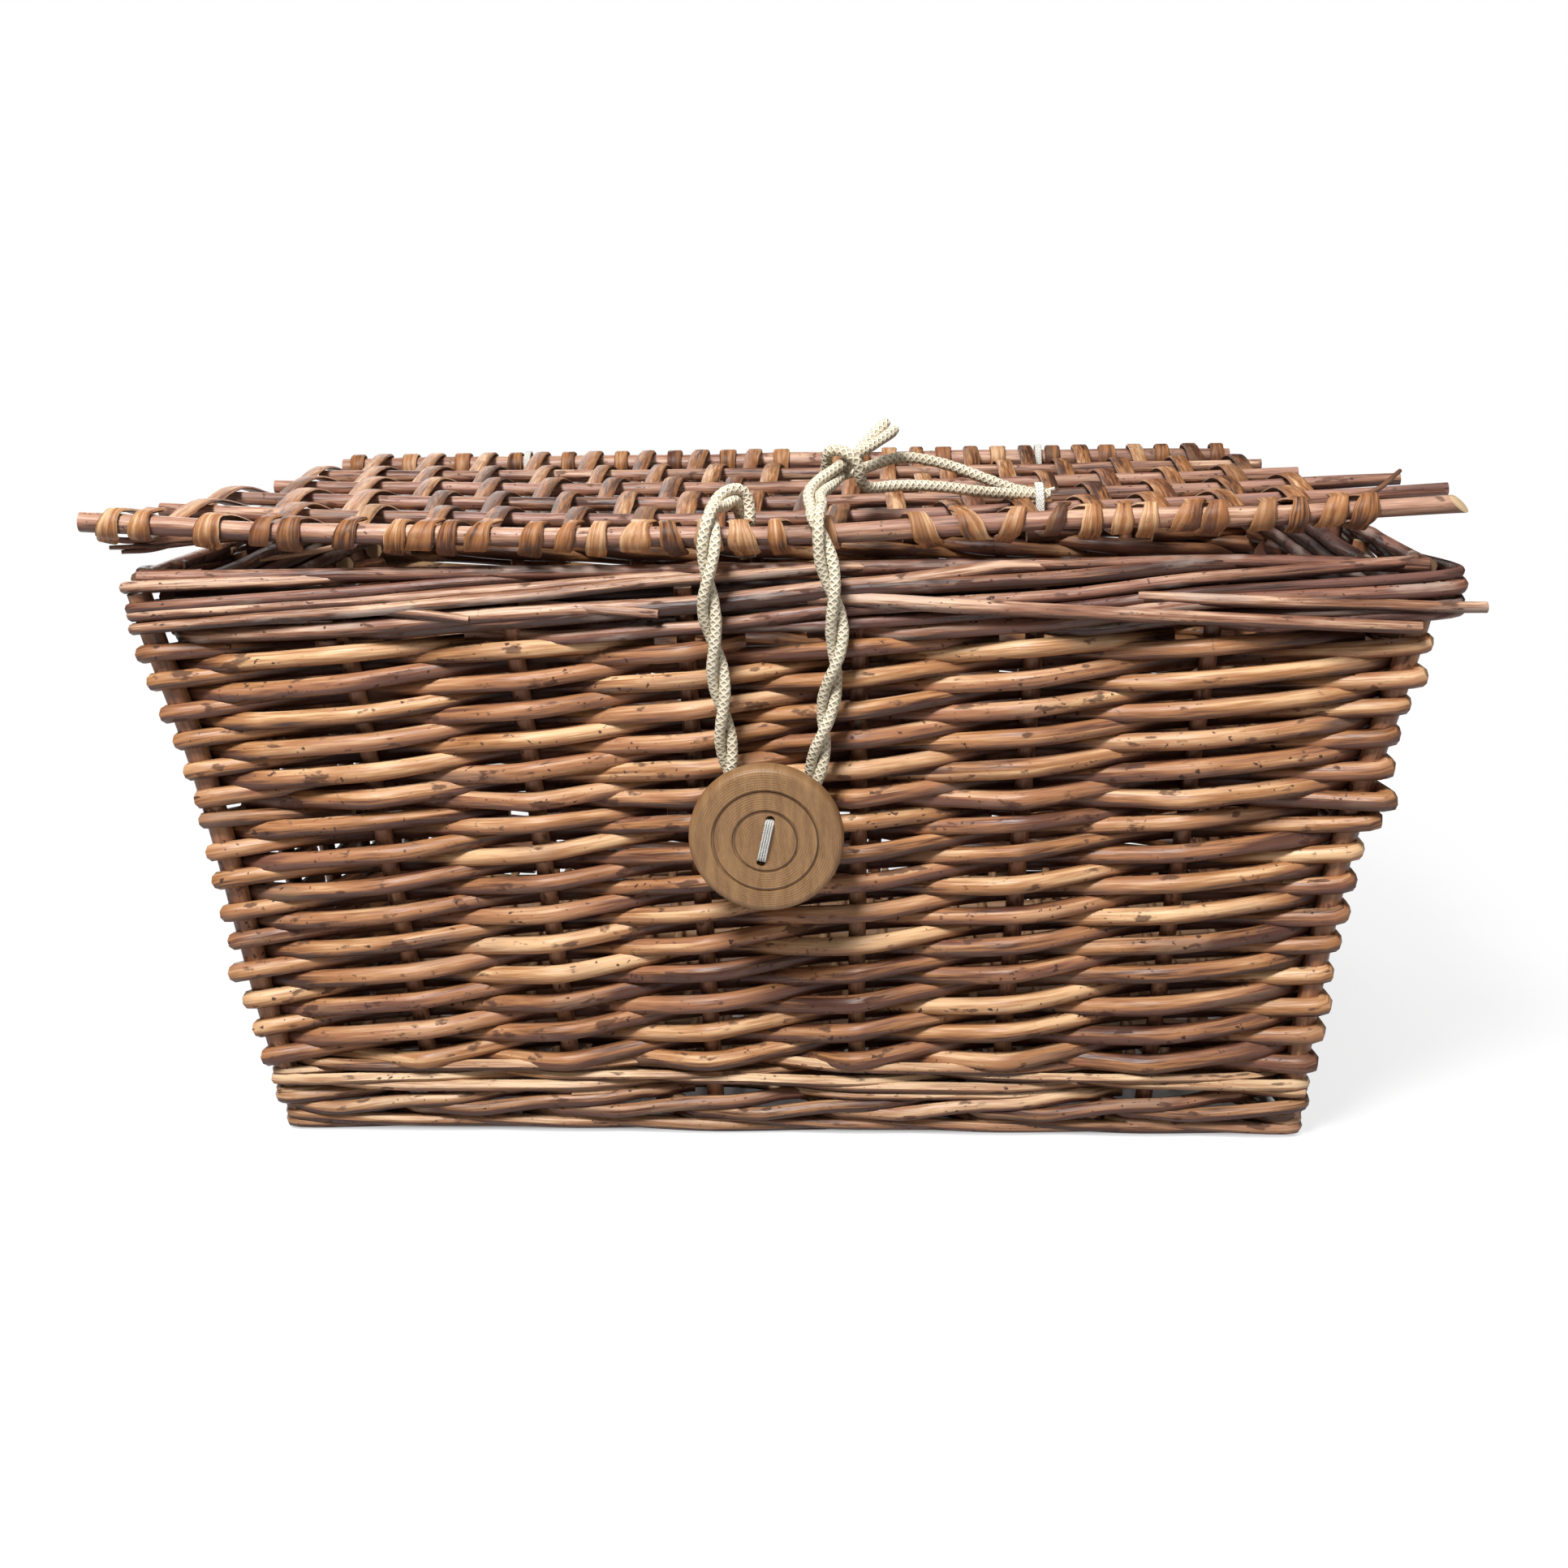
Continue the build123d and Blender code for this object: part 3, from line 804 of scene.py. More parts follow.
def smooth_line(knots: list[Knot], steps: int) -> list[Vector]:
    """A smooth line through knots with given directions.

    Args:
        knots: place of each knot, and its direction with a length of about one span.
        steps: points from one knot to the next.

    Returns:
        The line's points.
    """
    line = []
    for (here, leave), (there, arrive) in zip(knots, knots[1:]):
        for step in range(steps):
            t = step / steps
            a = 2 * t**3 - 3 * t**2 + 1
            b = t**3 - 2 * t**2 + t
            c = -2 * t**3 + 3 * t**2
            d = t**3 - t**2
            line.append(here * a + leave * b + there * c + arrive * d)
    line.append(knots[-1][0].copy())
    return line


def through(points: list[Vector], steps: int) -> list[Vector]:
    """A smooth line through points.

    Args:
        points: the points.
        steps: points from one to the next.

    Returns:
        The line's points.
    """
    knots = []
    for index, here in enumerate(points):
        before = points[max(index - 1, 0)]
        after = points[min(index + 1, len(points) - 1)]
        knots.append((here, (after - before) * (0.5 if 0 < index < len(points) - 1 else 1.0)))
    return smooth_line(knots, steps)


@dataclass
class StakeRing:
    """Where the stakes stand: four walls that lean out from the foot to the rim.

    Each flare is a height, and how much further out the side walls stand there than straight ones.
    """

    base_width: float = 0.282
    base_depth: float = 0.202
    rim_width: float = 0.326
    rim_depth: float = 0.246
    height: float = 0.166
    long_bays: int = 7
    short_bays: int = 6
    corner_reach: float = 0.96
    corner_outside: float = 0.015
    corner_inside: float = 0.028
    flares: tuple[tuple[float, float], ...] = (
        (0.0, 0.0),
        (0.02, -0.0008),
        (0.05, -0.0018),
        (0.09, -0.0009),
        (0.115, 0.0012),
        (0.14, 0.0045),
        (0.155, 0.006),
        (0.2, 0.006),
    )

    @property
    def count(self) -> int:
        """Number of stakes."""
        return 2 * (self.long_bays + self.short_bays)

    @property
    def lean(self) -> float:
        """Lean of the front wall from upright, in radians."""
        return math.atan((self.rim_depth - self.base_depth) / 2 / self.height)

    def half_width(self, z: float) -> float:
        """Half width between the side stakes at a height."""
        return self.base_width / 2 + (self.rim_width - self.base_width) / 2 * z / self.height

    def half_depth(self, z: float) -> float:
        """Half depth between the front and back stakes at a height."""
        return self.base_depth / 2 + (self.rim_depth - self.base_depth) / 2 * z / self.height

    def flare(self, z: float) -> float:
        """How much further out the side walls stand than a straight wall would, at a height.

        Args:
            z: the height.

        Returns:
            The distance.
        """
        for (low, inner), (high, outer) in zip(self.flares, self.flares[1:]):
            if z < high:
                share = max(0.0, (z - low) / (high - low))
                return inner + (outer - inner) * share
        return self.flares[-1][1]

    def locate(self, number: int) -> tuple[Wall, int]:
        """The wall that a stake is on, and its number there.

        Args:
            number: the stake's number round the basket, from the front left corner.

        Returns:
            The wall and the number on it, 0 for the wall's first corner.
        """
        number %= self.count
        for wall in Wall:
            bays = self.bays(wall)
            if number < bays:
                return wall, number
            number -= bays
        return Wall.FRONT, 0

    def bays(self, wall: Wall) -> int:
        """Number of bays of a wall."""
        return self.long_bays if wall.is_long else self.short_bays

    def half_length(self, wall: Wall, z: float) -> float:
        """Half length of a wall at a height."""
        return self.half_width(z) if wall.is_long else self.half_depth(z)

    def directions(self, wall: Wall) -> tuple[Vector, Vector]:
        """A wall's direction of travel and its outward direction."""
        turn = Matrix.Rotation(wall.value * math.pi / 2, 3, "Z")
        return turn @ Vector((1.0, 0.0, 0.0)), turn @ Vector((0.0, -1.0, 0.0))

    def point(self, wall: Wall, along: float, out: float, z: float) -> Vector:
        """A point beside a wall.

        Args:
            wall: the wall.
            along: distance from the wall's middle, in the direction of travel.
            out: distance out from the stakes' middles.
            z: height.

        Returns:
            The point.
        """
        ahead, outward = self.directions(wall)
        away = self.half_width(z) + self.flare(z)
        if wall.is_long:
            away = self.half_depth(z)
            half = self.half_width(z)
            bay = 2 * half / self.long_bays
            past = max(0.0, abs(along) - half + bay) / bay
            along += math.copysign(self.flare(z) * past * past, along)
        return ahead * along + outward * (away + out) + Vector((0.0, 0.0, z))

    def knot(self, number: float, out: float, z: float) -> Knot:
        """A rod's place and direction as it passes a stake or a place between two.

        Args:
            number: the stake's number, with a fraction between stakes.
            out: distance out from the stake's middle.
            z: height.

        Returns:
            The place and the direction, one bay long.
        """
        whole = math.floor(number)
        wall, index = self.locate(whole)
        ahead, outward = self.directions(wall)
        bay = 2 * self.half_length(wall, z) / self.bays(wall)
        if index == 0 and number == whole:
            before = self.directions(Wall((wall.value - 1) % len(Wall)))[1]
            diagonal = (outward + before).normalized()
            corner = self.point(wall, -self.half_length(wall, z), 0.0, z)
            reach = out * self.corner_reach if out > 0 else out
            travel = Vector((-diagonal.y, diagonal.x, 0.0))
            bend = self.corner_outside if out > 0 else self.corner_inside
            return corner + diagonal * reach, travel * bend
        along = -self.half_length(wall, z) + bay * (index + number - whole)
        return self.point(wall, along, out, z), ahead * bay


@dataclass(frozen=True)
class WeaveSet:
    """One set of weavers: where it starts and ends, and which rods stand proud, by stake and row."""

    name: str
    family: str
    bottom: float
    pitch: float
    rows: int
    seed: int
    proud: dict[tuple[int, int], float] = field(default_factory=dict)


@dataclass(frozen=True)
class BorderRods:
    """How the rods of a border run, one from each stake.

    Each pass gives the bays travelled since the rod's own stake, how far the rod is outside the stakes
    (1 where it just clears them, -1 the same inside) and its height.
    """

    radius: float
    palest: float
    passes: tuple[Point, ...]


@dataclass(frozen=True)
class StrayRod:
    """A rod of the rim border that ends in the open on the front.

    Each place gives a distance along the front wall, a distance out from the other rods and a height.
    The points beyond the corner are plain places.
    """

    radius: float
    places: tuple[Point, ...]
    beyond: tuple[Point, ...] = ()


@dataclass
class WovenWalls:
    """The woven walls: stakes, two sets of weavers, the foot and the rolled border at the rim."""

    ring: StakeRing
    seed: int = 11
    rod_radius: float = 0.0026
    rod_steps: int = 9
    inside_swell: float = 0.26
    lead: float = 0.85
    trail: float = 0.8
    open_lead: float = 0.45
    open_trail: float = 0.33
    stake_radius: float = 0.0025
    corner_stake_scale: float = 1.32
    stake_levels: tuple[float, ...] = (0.0016, 0.03, 0.06, 0.09, 0.12, 0.145, 0.1604)
    stake_bow: float = 0.0003
    corner_push: tuple[float, float] = (0.0008, 0.0003)
    wale_radius: float = 0.0015
    wale_levels: int = 5
    wale_bottom: float = 0.0128
    wale_pitch: float = 0.0020
    wale_stagger: int = 5
    rim_radius: float = 0.00195
    rim_top: float = 0.1640
    rim_climb: float = 0.0026
    front_rise: float = 0.0011
    right_rise: float = 0.0008
    rim_corner_push: Point = (0.0050, -0.0006, 0.0)
    rail_inset: float = 0.006
    rail_sway: float = 0.0004
    sets: tuple[WeaveSet, ...] = (
        WeaveSet(
            name="lower_weavers",
            family="lower_weave",
            bottom=0.0234,
            pitch=0.00452,
            rows=17,
            seed=3,
            proud={(3, 4): 0.0012, (20, 6): 0.002, (17, 16): 0.003},
        ),
        WeaveSet(
            name="upper_weavers",
            family="upper_weave",
            bottom=0.1022,
            pitch=0.00418,
            rows=11,
            seed=7,
            proud={(7, 0): 0.0055, (5, 2): 0.0012, (25, 8): 0.002},
        ),
    )
    foot_rods: tuple[BorderRods, ...] = (
        BorderRods(
            radius=0.0021,
            palest=1.15,
            passes=(
                (-0.42, -0.6, 0.0104),
                (-0.08, 0.85, 0.0074),
                (0.3, 1.1, 0.0066),
                (1.0, 1.05, 0.0098),
                (1.55, 0.3, 0.0116),
                (1.85, -0.6, 0.0118),
            ),
        ),
        BorderRods(
            radius=0.0019,
            palest=0.9,
            passes=(
                (-0.4, -0.6, 0.0046),
                (0.0, 0.75, 0.0042),
                (1.0, 0.95, 0.0026),
                (1.75, 0.4, 0.0022),
                (2.1, -0.6, 0.0024),
            ),
        ),
    )
    rim_passes: tuple[Point, ...] = (
        (-0.3, -0.8, 0.1478),
        (0.3, 0.75, 0.1480),
        (1.0, 1.12, 0.1502),
        (2.0, 1.18, 0.1536),
        (3.0, 1.02, 0.1571),
        (4.0, 0.82, 0.1604),
        (4.8, 0.35, 0.1634),
        (5.3, -0.3, 0.1638),
    )
    stray_rods: tuple[StrayRod, ...] = (
        StrayRod(
            radius=0.0017,
            places=((0.0950, -0.0004, 0.1572), (0.1225, 0.0022, 0.1562), (0.1500, 0.0022, 0.1552)),
            beyond=((0.1700, -0.1290, 0.1545), (0.1826, -0.1280, 0.1541)),
        ),
        StrayRod(
            radius=0.0020,
            places=(
                (0.0100, -0.0010, 0.1580),
                (0.0528, 0.0034, 0.1556),
                (0.1100, 0.0038, 0.1522),
                (0.1610, 0.0030, 0.1490),
            ),
        ),
        StrayRod(
            radius=0.0014,
            places=((-0.1180, -0.0022, 0.1560), (-0.0960, 0.0014, 0.1550), (-0.0790, 0.0026, 0.1530)),
        ),
        StrayRod(
            radius=0.0014,
            places=((-0.0660, -0.0022, 0.1565), (-0.0440, 0.0014, 0.1552), (-0.0290, 0.0026, 0.1542)),
        ),
    )

    def pieces(self) -> None:
        """Builds and dresses every piece of the walls."""
        weave = RodFinish("willow_weavers").material()
        for woven in self.sets:
            self.weavers(woven, weave)
        self.stakes()
        self.wale()
        self.foot()
        self.rim()

    def solids(self, family: str) -> list[str]:
        """Names of a family's solids, one on each wall."""
        return [f"{family}_{wall.name.lower()}" for wall in Wall]

    def weavers(self, woven: WeaveSet, finish: Material) -> None:
        """One rod from each stake, which climbs a row from stake to stake, outside and inside in turn.

        A rod is thicker where it passes inside, so that little light comes through the wall, and its colour
        there is darkened as painted shade.

        Args:
            woven: the set of weavers.
            finish: the rods' material.
        """
        draw = random.Random(self.seed * woven.seed)
        swept = SweptMesh(woven.name, painted_underside_shade=1.1)
        steps = self.rod_steps
        for start in range(self.ring.count):
            butt = self.rod_radius * draw.uniform(0.98, 1.1)
            tip = self.rod_radius * draw.uniform(0.88, 0.97)
            line = smooth_line(self.weaver_knots(woven, start, draw), steps)
            tone = Tone.drawn(draw, 0.1, 1.05)
            radii = []
            pales = []
            for index in range(len(line)):
                share = index / (len(line) - 1)
                turn = math.pi * (index - steps) / steps
                # 1 where the rod is inside a stake, 0 where it is outside.
                inside = min(1.0, max(0.0, -0.12 - 1.2 * math.cos(turn)))
                swell = 1.0 + 0.03 * math.cos(2 * turn) + self.inside_swell * inside
                radii.append((butt + (tip - butt) * share) * swell)
                # Painted shade: the rod's colour is darkened where it passes inside the wall.
                pales.append(tone.pale - (tone.pale + 0.4) * inside)
            swept.rod(line, radii, tone, 9, draw.uniform(0.0, 0.6), pales)
        claim(swept.built(finish), Body.BASKET, "weave_willow", *self.solids(woven.family))

    def weaver_knots(self, woven: WeaveSet, start: int, draw: random.Random) -> list[Knot]:
        """Where one weaver passes the stakes.

        Its ends stop short of the bay that the button's thread goes through.

        Args:
            woven: the set of weavers.
            start: the number of the rod's first stake.
            draw: the seeded source of its bends.

        Returns:
            The rod's places and directions.
        """
        clear = self.stake_radius + self.rod_radius
        pitch, rows = woven.pitch, woven.rows
        drift = draw.uniform(-0.0002, 0.0002)
        open_bay = self.ring.long_bays // 2
        lead = self.open_lead if start == open_bay + 1 else self.lead
        place, way = self.ring.knot(start - lead, -clear * 0.75, woven.bottom - pitch * 0.25)
        knots = [(place, way * lead)]
        for row in range(rows):
            side = clear if row % 2 == 0 else -clear
            z = woven.bottom + pitch * row + drift + draw.uniform(-0.0004, 0.0004)
            out = side + draw.uniform(-0.0002, 0.0006) + woven.proud.get((start, row), 0.0)
            place, way = self.ring.knot(start + row, out, z)
            if row % 2 == 0:
                way *= draw.uniform(0.38, 0.85)
            way.z += pitch * draw.uniform(0.35, 0.75)
            if row == 0:
                way *= 0.6
            knots.append((place, way))
        last = start + rows - 1
        trail = self.open_trail if last % self.ring.count == open_bay else self.trail
        place, way = self.ring.knot(last + trail, -clear * 0.9, woven.bottom + pitch * (rows - 0.85))
        knots.append((place, way * trail))
        return knots

    def stakes(self) -> None:
        """The upright rods, slightly bowed, from the foot into the border."""
        draw = random.Random(self.seed + 2)
        swept = SweptMesh("upright_stakes", painted_underside_shade=0.4)
        for number in range(self.ring.count):
            corner = self.ring.locate(number)[1] == 0
            points = []
            for z in self.stake_levels:
                place = self.ring.knot(number, 0.0, z)[0]
                if corner:
                    aside, out = self.corner_push
                    place += Vector((math.copysign(aside, place.x), math.copysign(out, place.y), 0.0))
                if 0.01 < z < 0.15:
                    place += Vector((draw.uniform(-1, 1), draw.uniform(-1, 1), 0.0)) * self.stake_bow
                points.append(place)
            line = through(points, 4)
            radius = self.stake_radius * (self.corner_stake_scale if corner else draw.uniform(0.96, 1.02))
            swept.rod(line, [radius] * len(line), Tone.drawn(draw, 0.0, 0.7), 10)
        finish = RodFinish("willow_stakes", pale=(0.44, 0.225, 0.11), middle=(0.23, 0.095, 0.042))
        piece = swept.built(finish.material())
        claim(piece, Body.BASKET, "stake_willow", "corner_stakes", *self.solids("stakes"))

    def wale(self) -> None:
        """Thin pale rods in front of two stakes and behind the third, just above the foot."""
        draw = random.Random(self.seed + 5)
        swept = SweptMesh("foot_waling", painted_underside_shade=1.9)
        clear = self.stake_radius + self.wale_radius
        half_round = self.ring.count // 2
        for level in range(self.wale_levels):
            for half in range(2):
                start = level * self.wale_stagger + half * half_round + 2
                z = self.wale_bottom + level * self.wale_pitch
                knots = []
                for step in range(half_round + 1):
                    side = -clear if (start + step + level) % 3 == 0 else clear + 0.0004
                    height = z + draw.uniform(-0.0008, 0.0008)
                    place, way = self.ring.knot(start + step, side + draw.uniform(-0.0004, 0.0009), height)
                    way.z += draw.uniform(-0.0008, 0.0008)
                    knots.append((place, way * (1.0 if side < 0 else 0.8)))
                line = smooth_line(knots, 7)
                size = self.wale_radius * draw.uniform(0.82, 1.12)
                swept.rod(line, [size] * len(line), Tone.drawn(draw, 0.55, 1.2, 0.8), 7)
        finish = RodFinish("willow_waling", pale=(0.72, 0.50, 0.30), middle=(0.36, 0.18, 0.085))
        claim(swept.built(finish.material()), Body.BASKET, "wale_willow", *self.solids("foot_wale"))

    def foot(self) -> None:
        """The foot border: rods that dip at one stake and climb past the next, and thin ones below them."""
        draw = random.Random(self.seed + 9)
        swept = SweptMesh("foot_border_rods", painted_underside_shade=2.1)
        for rods in self.foot_rods:
            clear = self.stake_radius + rods.radius
            for start in range(self.ring.count):
                knots = []
                shift = draw.uniform(-0.0005, 0.0006)
                for offset, side, z in rods.passes:
                    height = max(z + shift + draw.uniform(-0.0002, 0.0003), rods.radius + 0.0002)
                    place, way = self.ring.knot(start + offset, side * clear, height)
                    knots.append((place, way * (0.85 if offset in (0.0, 1.0) else 0.4)))
                line = smooth_line(knots, 7)
                size = rods.radius * draw.uniform(0.88, 1.04)
                swept.rod(line, tapered(line, size, 1.05, 0.15), Tone.drawn(draw, 0.0, rods.palest), 9)
        finish = RodFinish("willow_foot", pale=(0.70, 0.47, 0.28), middle=(0.34, 0.17, 0.08), worn_share=0.5)
        claim(swept.built(finish.material()), Body.BASKET, "foot_willow", *self.solids("foot_border"))

    def rim_lift(self, place: Vector) -> float:
        """How much higher the border stands over the front wall, most at its right.

        Args:
            place: a place on the border.

        Returns:
            The extra height, 0 away from the front wall.
        """
        if place.y > -self.ring.base_depth / 2:
            return 0.0
        return self.front_rise + self.right_rise * max(-0.3, min(1.0, place.x / 0.1))

    def rim(self) -> None:
        """The border at the rim: climbing rods, straight rails inside them, and rods that end in the open."""
        draw = random.Random(self.seed + 21)
        swept = SweptMesh("rim_border_rods", painted_underside_shade=1.9)
        clear = self.stake_radius + self.rim_radius
        self.rim_rods(swept, clear, draw)
        self.rim_rails(swept, clear, draw)
        self.strays(swept, clear, draw)
        finish = RodFinish(
            "willow_rim",
            pale=(0.64, 0.42, 0.28),
            middle=(0.235, 0.105, 0.055),
            dark=(0.03, 0.009, 0.005),
            blush=(0.28, 0.125, 0.095),
            worn=(0.44, 0.34, 0.28),
            core=(0.16, 0.09, 0.05),
            blush_share=0.7,
            worn_share=0.6,
            fibre=1.1,
        )
        claim(swept.built(finish.material()), Body.BASKET, "rim_willow", *self.solids("rim_border"))

    def rim_rods(self, swept: SweptMesh, clear: float, draw: random.Random) -> None:
        """From each stake a rod comes out and climbs past the next five, one above another.

        Args:
            swept: the mesh that they go into.
            clear: distance of a rod outside the stakes.
            draw: the seeded source of their bends and tones.
        """
        for start in range(self.ring.count):
            knots = []
            shift = draw.uniform(-0.0009, 0.0009)
            depth = draw.uniform(-0.0007, 0.0014)
            for offset, side, z in self.rim_passes:
                height = min(z + shift + draw.uniform(-0.0011, 0.0011), self.rim_top)
                out = side * clear + (depth if side > 0.5 else 0.0)
                place, way = self.ring.knot(start + offset, out, height)
                place.z += self.rim_lift(place)
                at_stake = offset in (1, 2, 3, 4)
                if at_stake and (start + int(offset)) % self.ring.count == self.ring.long_bays:
                    place += Vector(self.rim_corner_push)
                way.z += self.rim_climb
                knots.append((place, way * (0.95 if at_stake else 0.5)))
            line = smooth_line(knots, 9)
            size = self.rim_radius * draw.uniform(0.78, 1.16)
            swept.rod(line, tapered(line, size, 1.08, 0.25), Tone.drawn(draw, -0.5, 0.95), 9)

    def rim_rails(self, swept: SweptMesh, clear: float, draw: random.Random) -> None:
        """Rods straight along each wall: one on the stakes' ends, and three inside the wall, coloured dark as
        painted shade.

        Args:
            swept: the mesh that they go into.
            clear: distance of a rod from the stakes' middles.
            draw: the seeded source of their tones.
        """
        top_radius, inner_radius = 0.0019, 0.0024
        rails = [(self.rim_top, 0.0, top_radius)]
        rails += [(level, -clear, inner_radius) for level in (0.1582, 0.1538, 0.1494)]
        spans = 8
        for wall in Wall:
            for level, inset, size in rails:
                points = []
                for step in range(spans + 1):
                    half = self.ring.half_length(wall, level) - (0.0 if inset == 0.0 else self.rail_inset)
                    sway = math.sin(step * 1.3 + wall.value) * self.rail_sway
                    along = half * (2 * step / spans - 1)
                    place = self.ring.point(wall, along, inset + sway, level - abs(sway))
                    place.z += self.rim_lift(place) * (1.0 if 0 < step < spans else 0.2)
                    points.append(place)
                line = through(points, 5)
                # Painted shade: the inner rails get a dark tone; the top rail is raised back to a plain tone.
                tone = Tone.drawn(draw, -1.4, -0.5)
                if inset == 0.0:
                    tone = Tone(tone.pale + 1.5, tone.blush, tone.seed)
                swept.rod(line, [size] * len(line), tone, 9)

    def strays(self, swept: SweptMesh, clear: float, draw: random.Random) -> None:
        """Rods of the border that end in the open: a tip past the corner, and ends cut on the front.

        Args:
            swept: the mesh that they go into.
            clear: distance of a rod outside the stakes.
            draw: the seeded source of their tones.
        """
        for stray in self.stray_rods:
            points = [self.ring.point(Wall.FRONT, x, clear + out, z) for x, out, z in stray.places]
            points += [Vector(place) for place in stray.beyond]
            line = through(points, 8)
            swept.rod(line, tapered(line, stray.radius, 1.05, 0.2), Tone.drawn(draw, 0.5, 1.0, 0.5), 10)


DARK_TWIGS: tuple[tuple[Point, ...], ...] = (
    ((0.115, -0.116, 0.1772), (0.14, -0.1135, 0.1792), (0.1557, -0.11, 0.1815), (0.1664, -0.095, 0.1858)),
    ((0.118, -0.112, 0.1774), (0.142, -0.113, 0.1796), (0.159, -0.112, 0.1812), (0.1752, -0.108, 0.1816)),
    ((-0.135, -0.116, 0.1752), (-0.16, -0.118, 0.1745), (-0.172, -0.1195, 0.1738), (-0.1788, -0.12, 0.1752)),
    ((-0.137, -0.1175, 0.175), (-0.158, -0.118, 0.1738), (-0.169, -0.119, 0.1722), (-0.1769, -0.12, 0.172)),
    (
        (-0.139, -0.1165, 0.1748),
        (-0.156, -0.117, 0.1734),
        (-0.166, -0.1185, 0.1712),
        (-0.1737, -0.12, 0.1708),
    ),
    ((-0.133, -0.115, 0.1746), (-0.153, -0.117, 0.1732), (-0.163, -0.1185, 0.1722), (-0.1702, -0.12, 0.1725)),
)
PALE_TWIG: tuple[Point, ...] = (
    (-0.09, -0.112, 0.1738),
    (-0.108, -0.115, 0.1726),
    (-0.1219, -0.12, 0.1703),
    (-0.1363, -0.12, 0.1683),
)
STRIP_SECTION = ((1.0, 0.0), (0.8, 0.85), (0.0, 1.0), (-0.8, 0.85), (-1.0, 0.0), (-0.8, -0.7), (0.8, -0.7))


@dataclass
class WovenLid:
    """The flat lid: sticks from side to side, and willow strips woven over and under them.

    Each lift is a place along the front stick, and how much higher the lid's front stands there. The
    front wraps are the strips' places on the front stick in millimetres, from left to right.
    """

    hinge_y: float = 0.122695
    front_y: float = -0.126705
    level: float = 0.171744
    bow: float = 0.007
    bow_reach: float = 0.172
    middle: float = -0.0129
    outer_radius: float = 0.0027
    back_radius: float = 0.0036
    inner_radius: float = 0.0022
    stick_sides: int = 14
    kink: float = 0.00018
    front_ends: tuple[float, float] = (-0.1814, 0.1745)
    back_ends: tuple[float, float] = (-0.1790, 0.1520)
    inner_ends: tuple[tuple[float, float], ...] = (
        (-0.1780, 0.1835),
        (-0.1760, 0.1814),
        (-0.1750, 0.1600),
        (-0.1740, 0.1560),
    )
    lifts: tuple[tuple[float, float], ...] = (
        (-0.19, 0.0012),
        (-0.148, 0.0015),
        (-0.07, 0.0020),
        (-0.014, 0.0024),
        (0.0125, 0.0025),
        (0.04, 0.0034),
        (0.067, 0.0038),
        (0.10, 0.0030),
        (0.13, 0.0015),
        (0.19, 0.0),
    )
    strip_thickness: float = 0.0012
    strip_width: float = 0.006
    strip_pitch: float = 0.010
    strip_numbers: tuple[int, ...] = (*range(-16, 1), *range(2, 17))
    wrap_gap: float = 0.00025
    cross_gap: float = 0.0003
    drift_power: float = 2.2
    fade_length: float = 0.012
    widening_length: float = 0.03
    seed: int = 5
    front_wraps: tuple[tuple[float, ...], ...] = (
        (-173.0, -164.6, -146.7, -132.6, -125.1, -110.2, -97.0, -90.2, -83.4, -75.3, -61.2),
        (-52.4, -44.2, -34.1, -25.1, -15.4, -6.8, 2.4, 15.4, 39.8, 52.2, 62.7),
        (73.6, 82.7, 90.4, 97.0, 106.8, 113.6, 125.9, 134.5, 143.2, 150.9),
    )
    pale_twig_tone: Tone = field(default_factory=lambda: Tone(1.6, 0.0, 0.3))

    def pieces(self) -> None:
        """Builds and dresses every piece of the lid."""
        self.sticks()
        self.strips()
        self.twigs()

    def forward(self, y: float) -> float:
        """Share of the way from the back stick to the front one."""
        return (self.hinge_y - y) / (self.hinge_y - self.front_y)

    def height(self, x: float, y: float) -> float:
        """Height of the lid's middle plane at a place.

        Args:
            x: the place from left to right.
            y: the place from front to back.

        Returns:
            The height.
        """
        curl = ((x - self.middle) / self.bow_reach) ** 2
        forward = self.forward(y)
        lift = 0.0
        for (left, low), (right, high) in zip(self.lifts, self.lifts[1:]):
            if left <= x < right:
                share = (x - left) / (right - left)
                lift = low + (high - low) * share * share * (3 - 2 * share)
        return self.level + self.bow * curl * forward + lift * max(0.0, forward) ** 4

    def inner_places(self) -> list[float]:
        """The inner sticks' places from front to back."""
        step = (self.hinge_y - self.front_y) / (len(self.inner_ends) + 1)
        return [self.front_y + step * (number + 1) for number in range(len(self.inner_ends))]

    def stick(
        self,
        swept: SweptMesh,
        y: float,
        ends: tuple[float, float],
        radius: float,
        draw: random.Random,
        tone: Tone,
    ) -> None:
        """Adds a stick that follows the lid's curl, with small kinks and swellings.

        Args:
            swept: the mesh that it goes into.
            y: its place from front to back.
            ends: its left and right end.
            radius: its radius.
            draw: the seeded source of its kinks.
            tone: its colour.
        """
        left, right = ends
        spans = 14
        points = []
        for step in range(spans + 1):
            x = left + (right - left) * step / spans
            kink = self.kink if 0 < step < spans else 0.0
            aside = draw.uniform(-kink, kink)
            points.append(Vector((x, y + aside, self.height(x, y) + draw.uniform(-kink, kink))))
        line = through(points, 6)
        radii = []
        taper_points = 12
        for index in range(len(line)):
            near_end = max(0.0, (index - len(line) + taper_points) / taper_points)
            swelling = 0.04 * math.sin(index * 0.37 + y * 90)
            radii.append(radius * (0.955 + swelling - 0.14 * near_end))
        swept.rod(line, radii, tone, self.stick_sides)

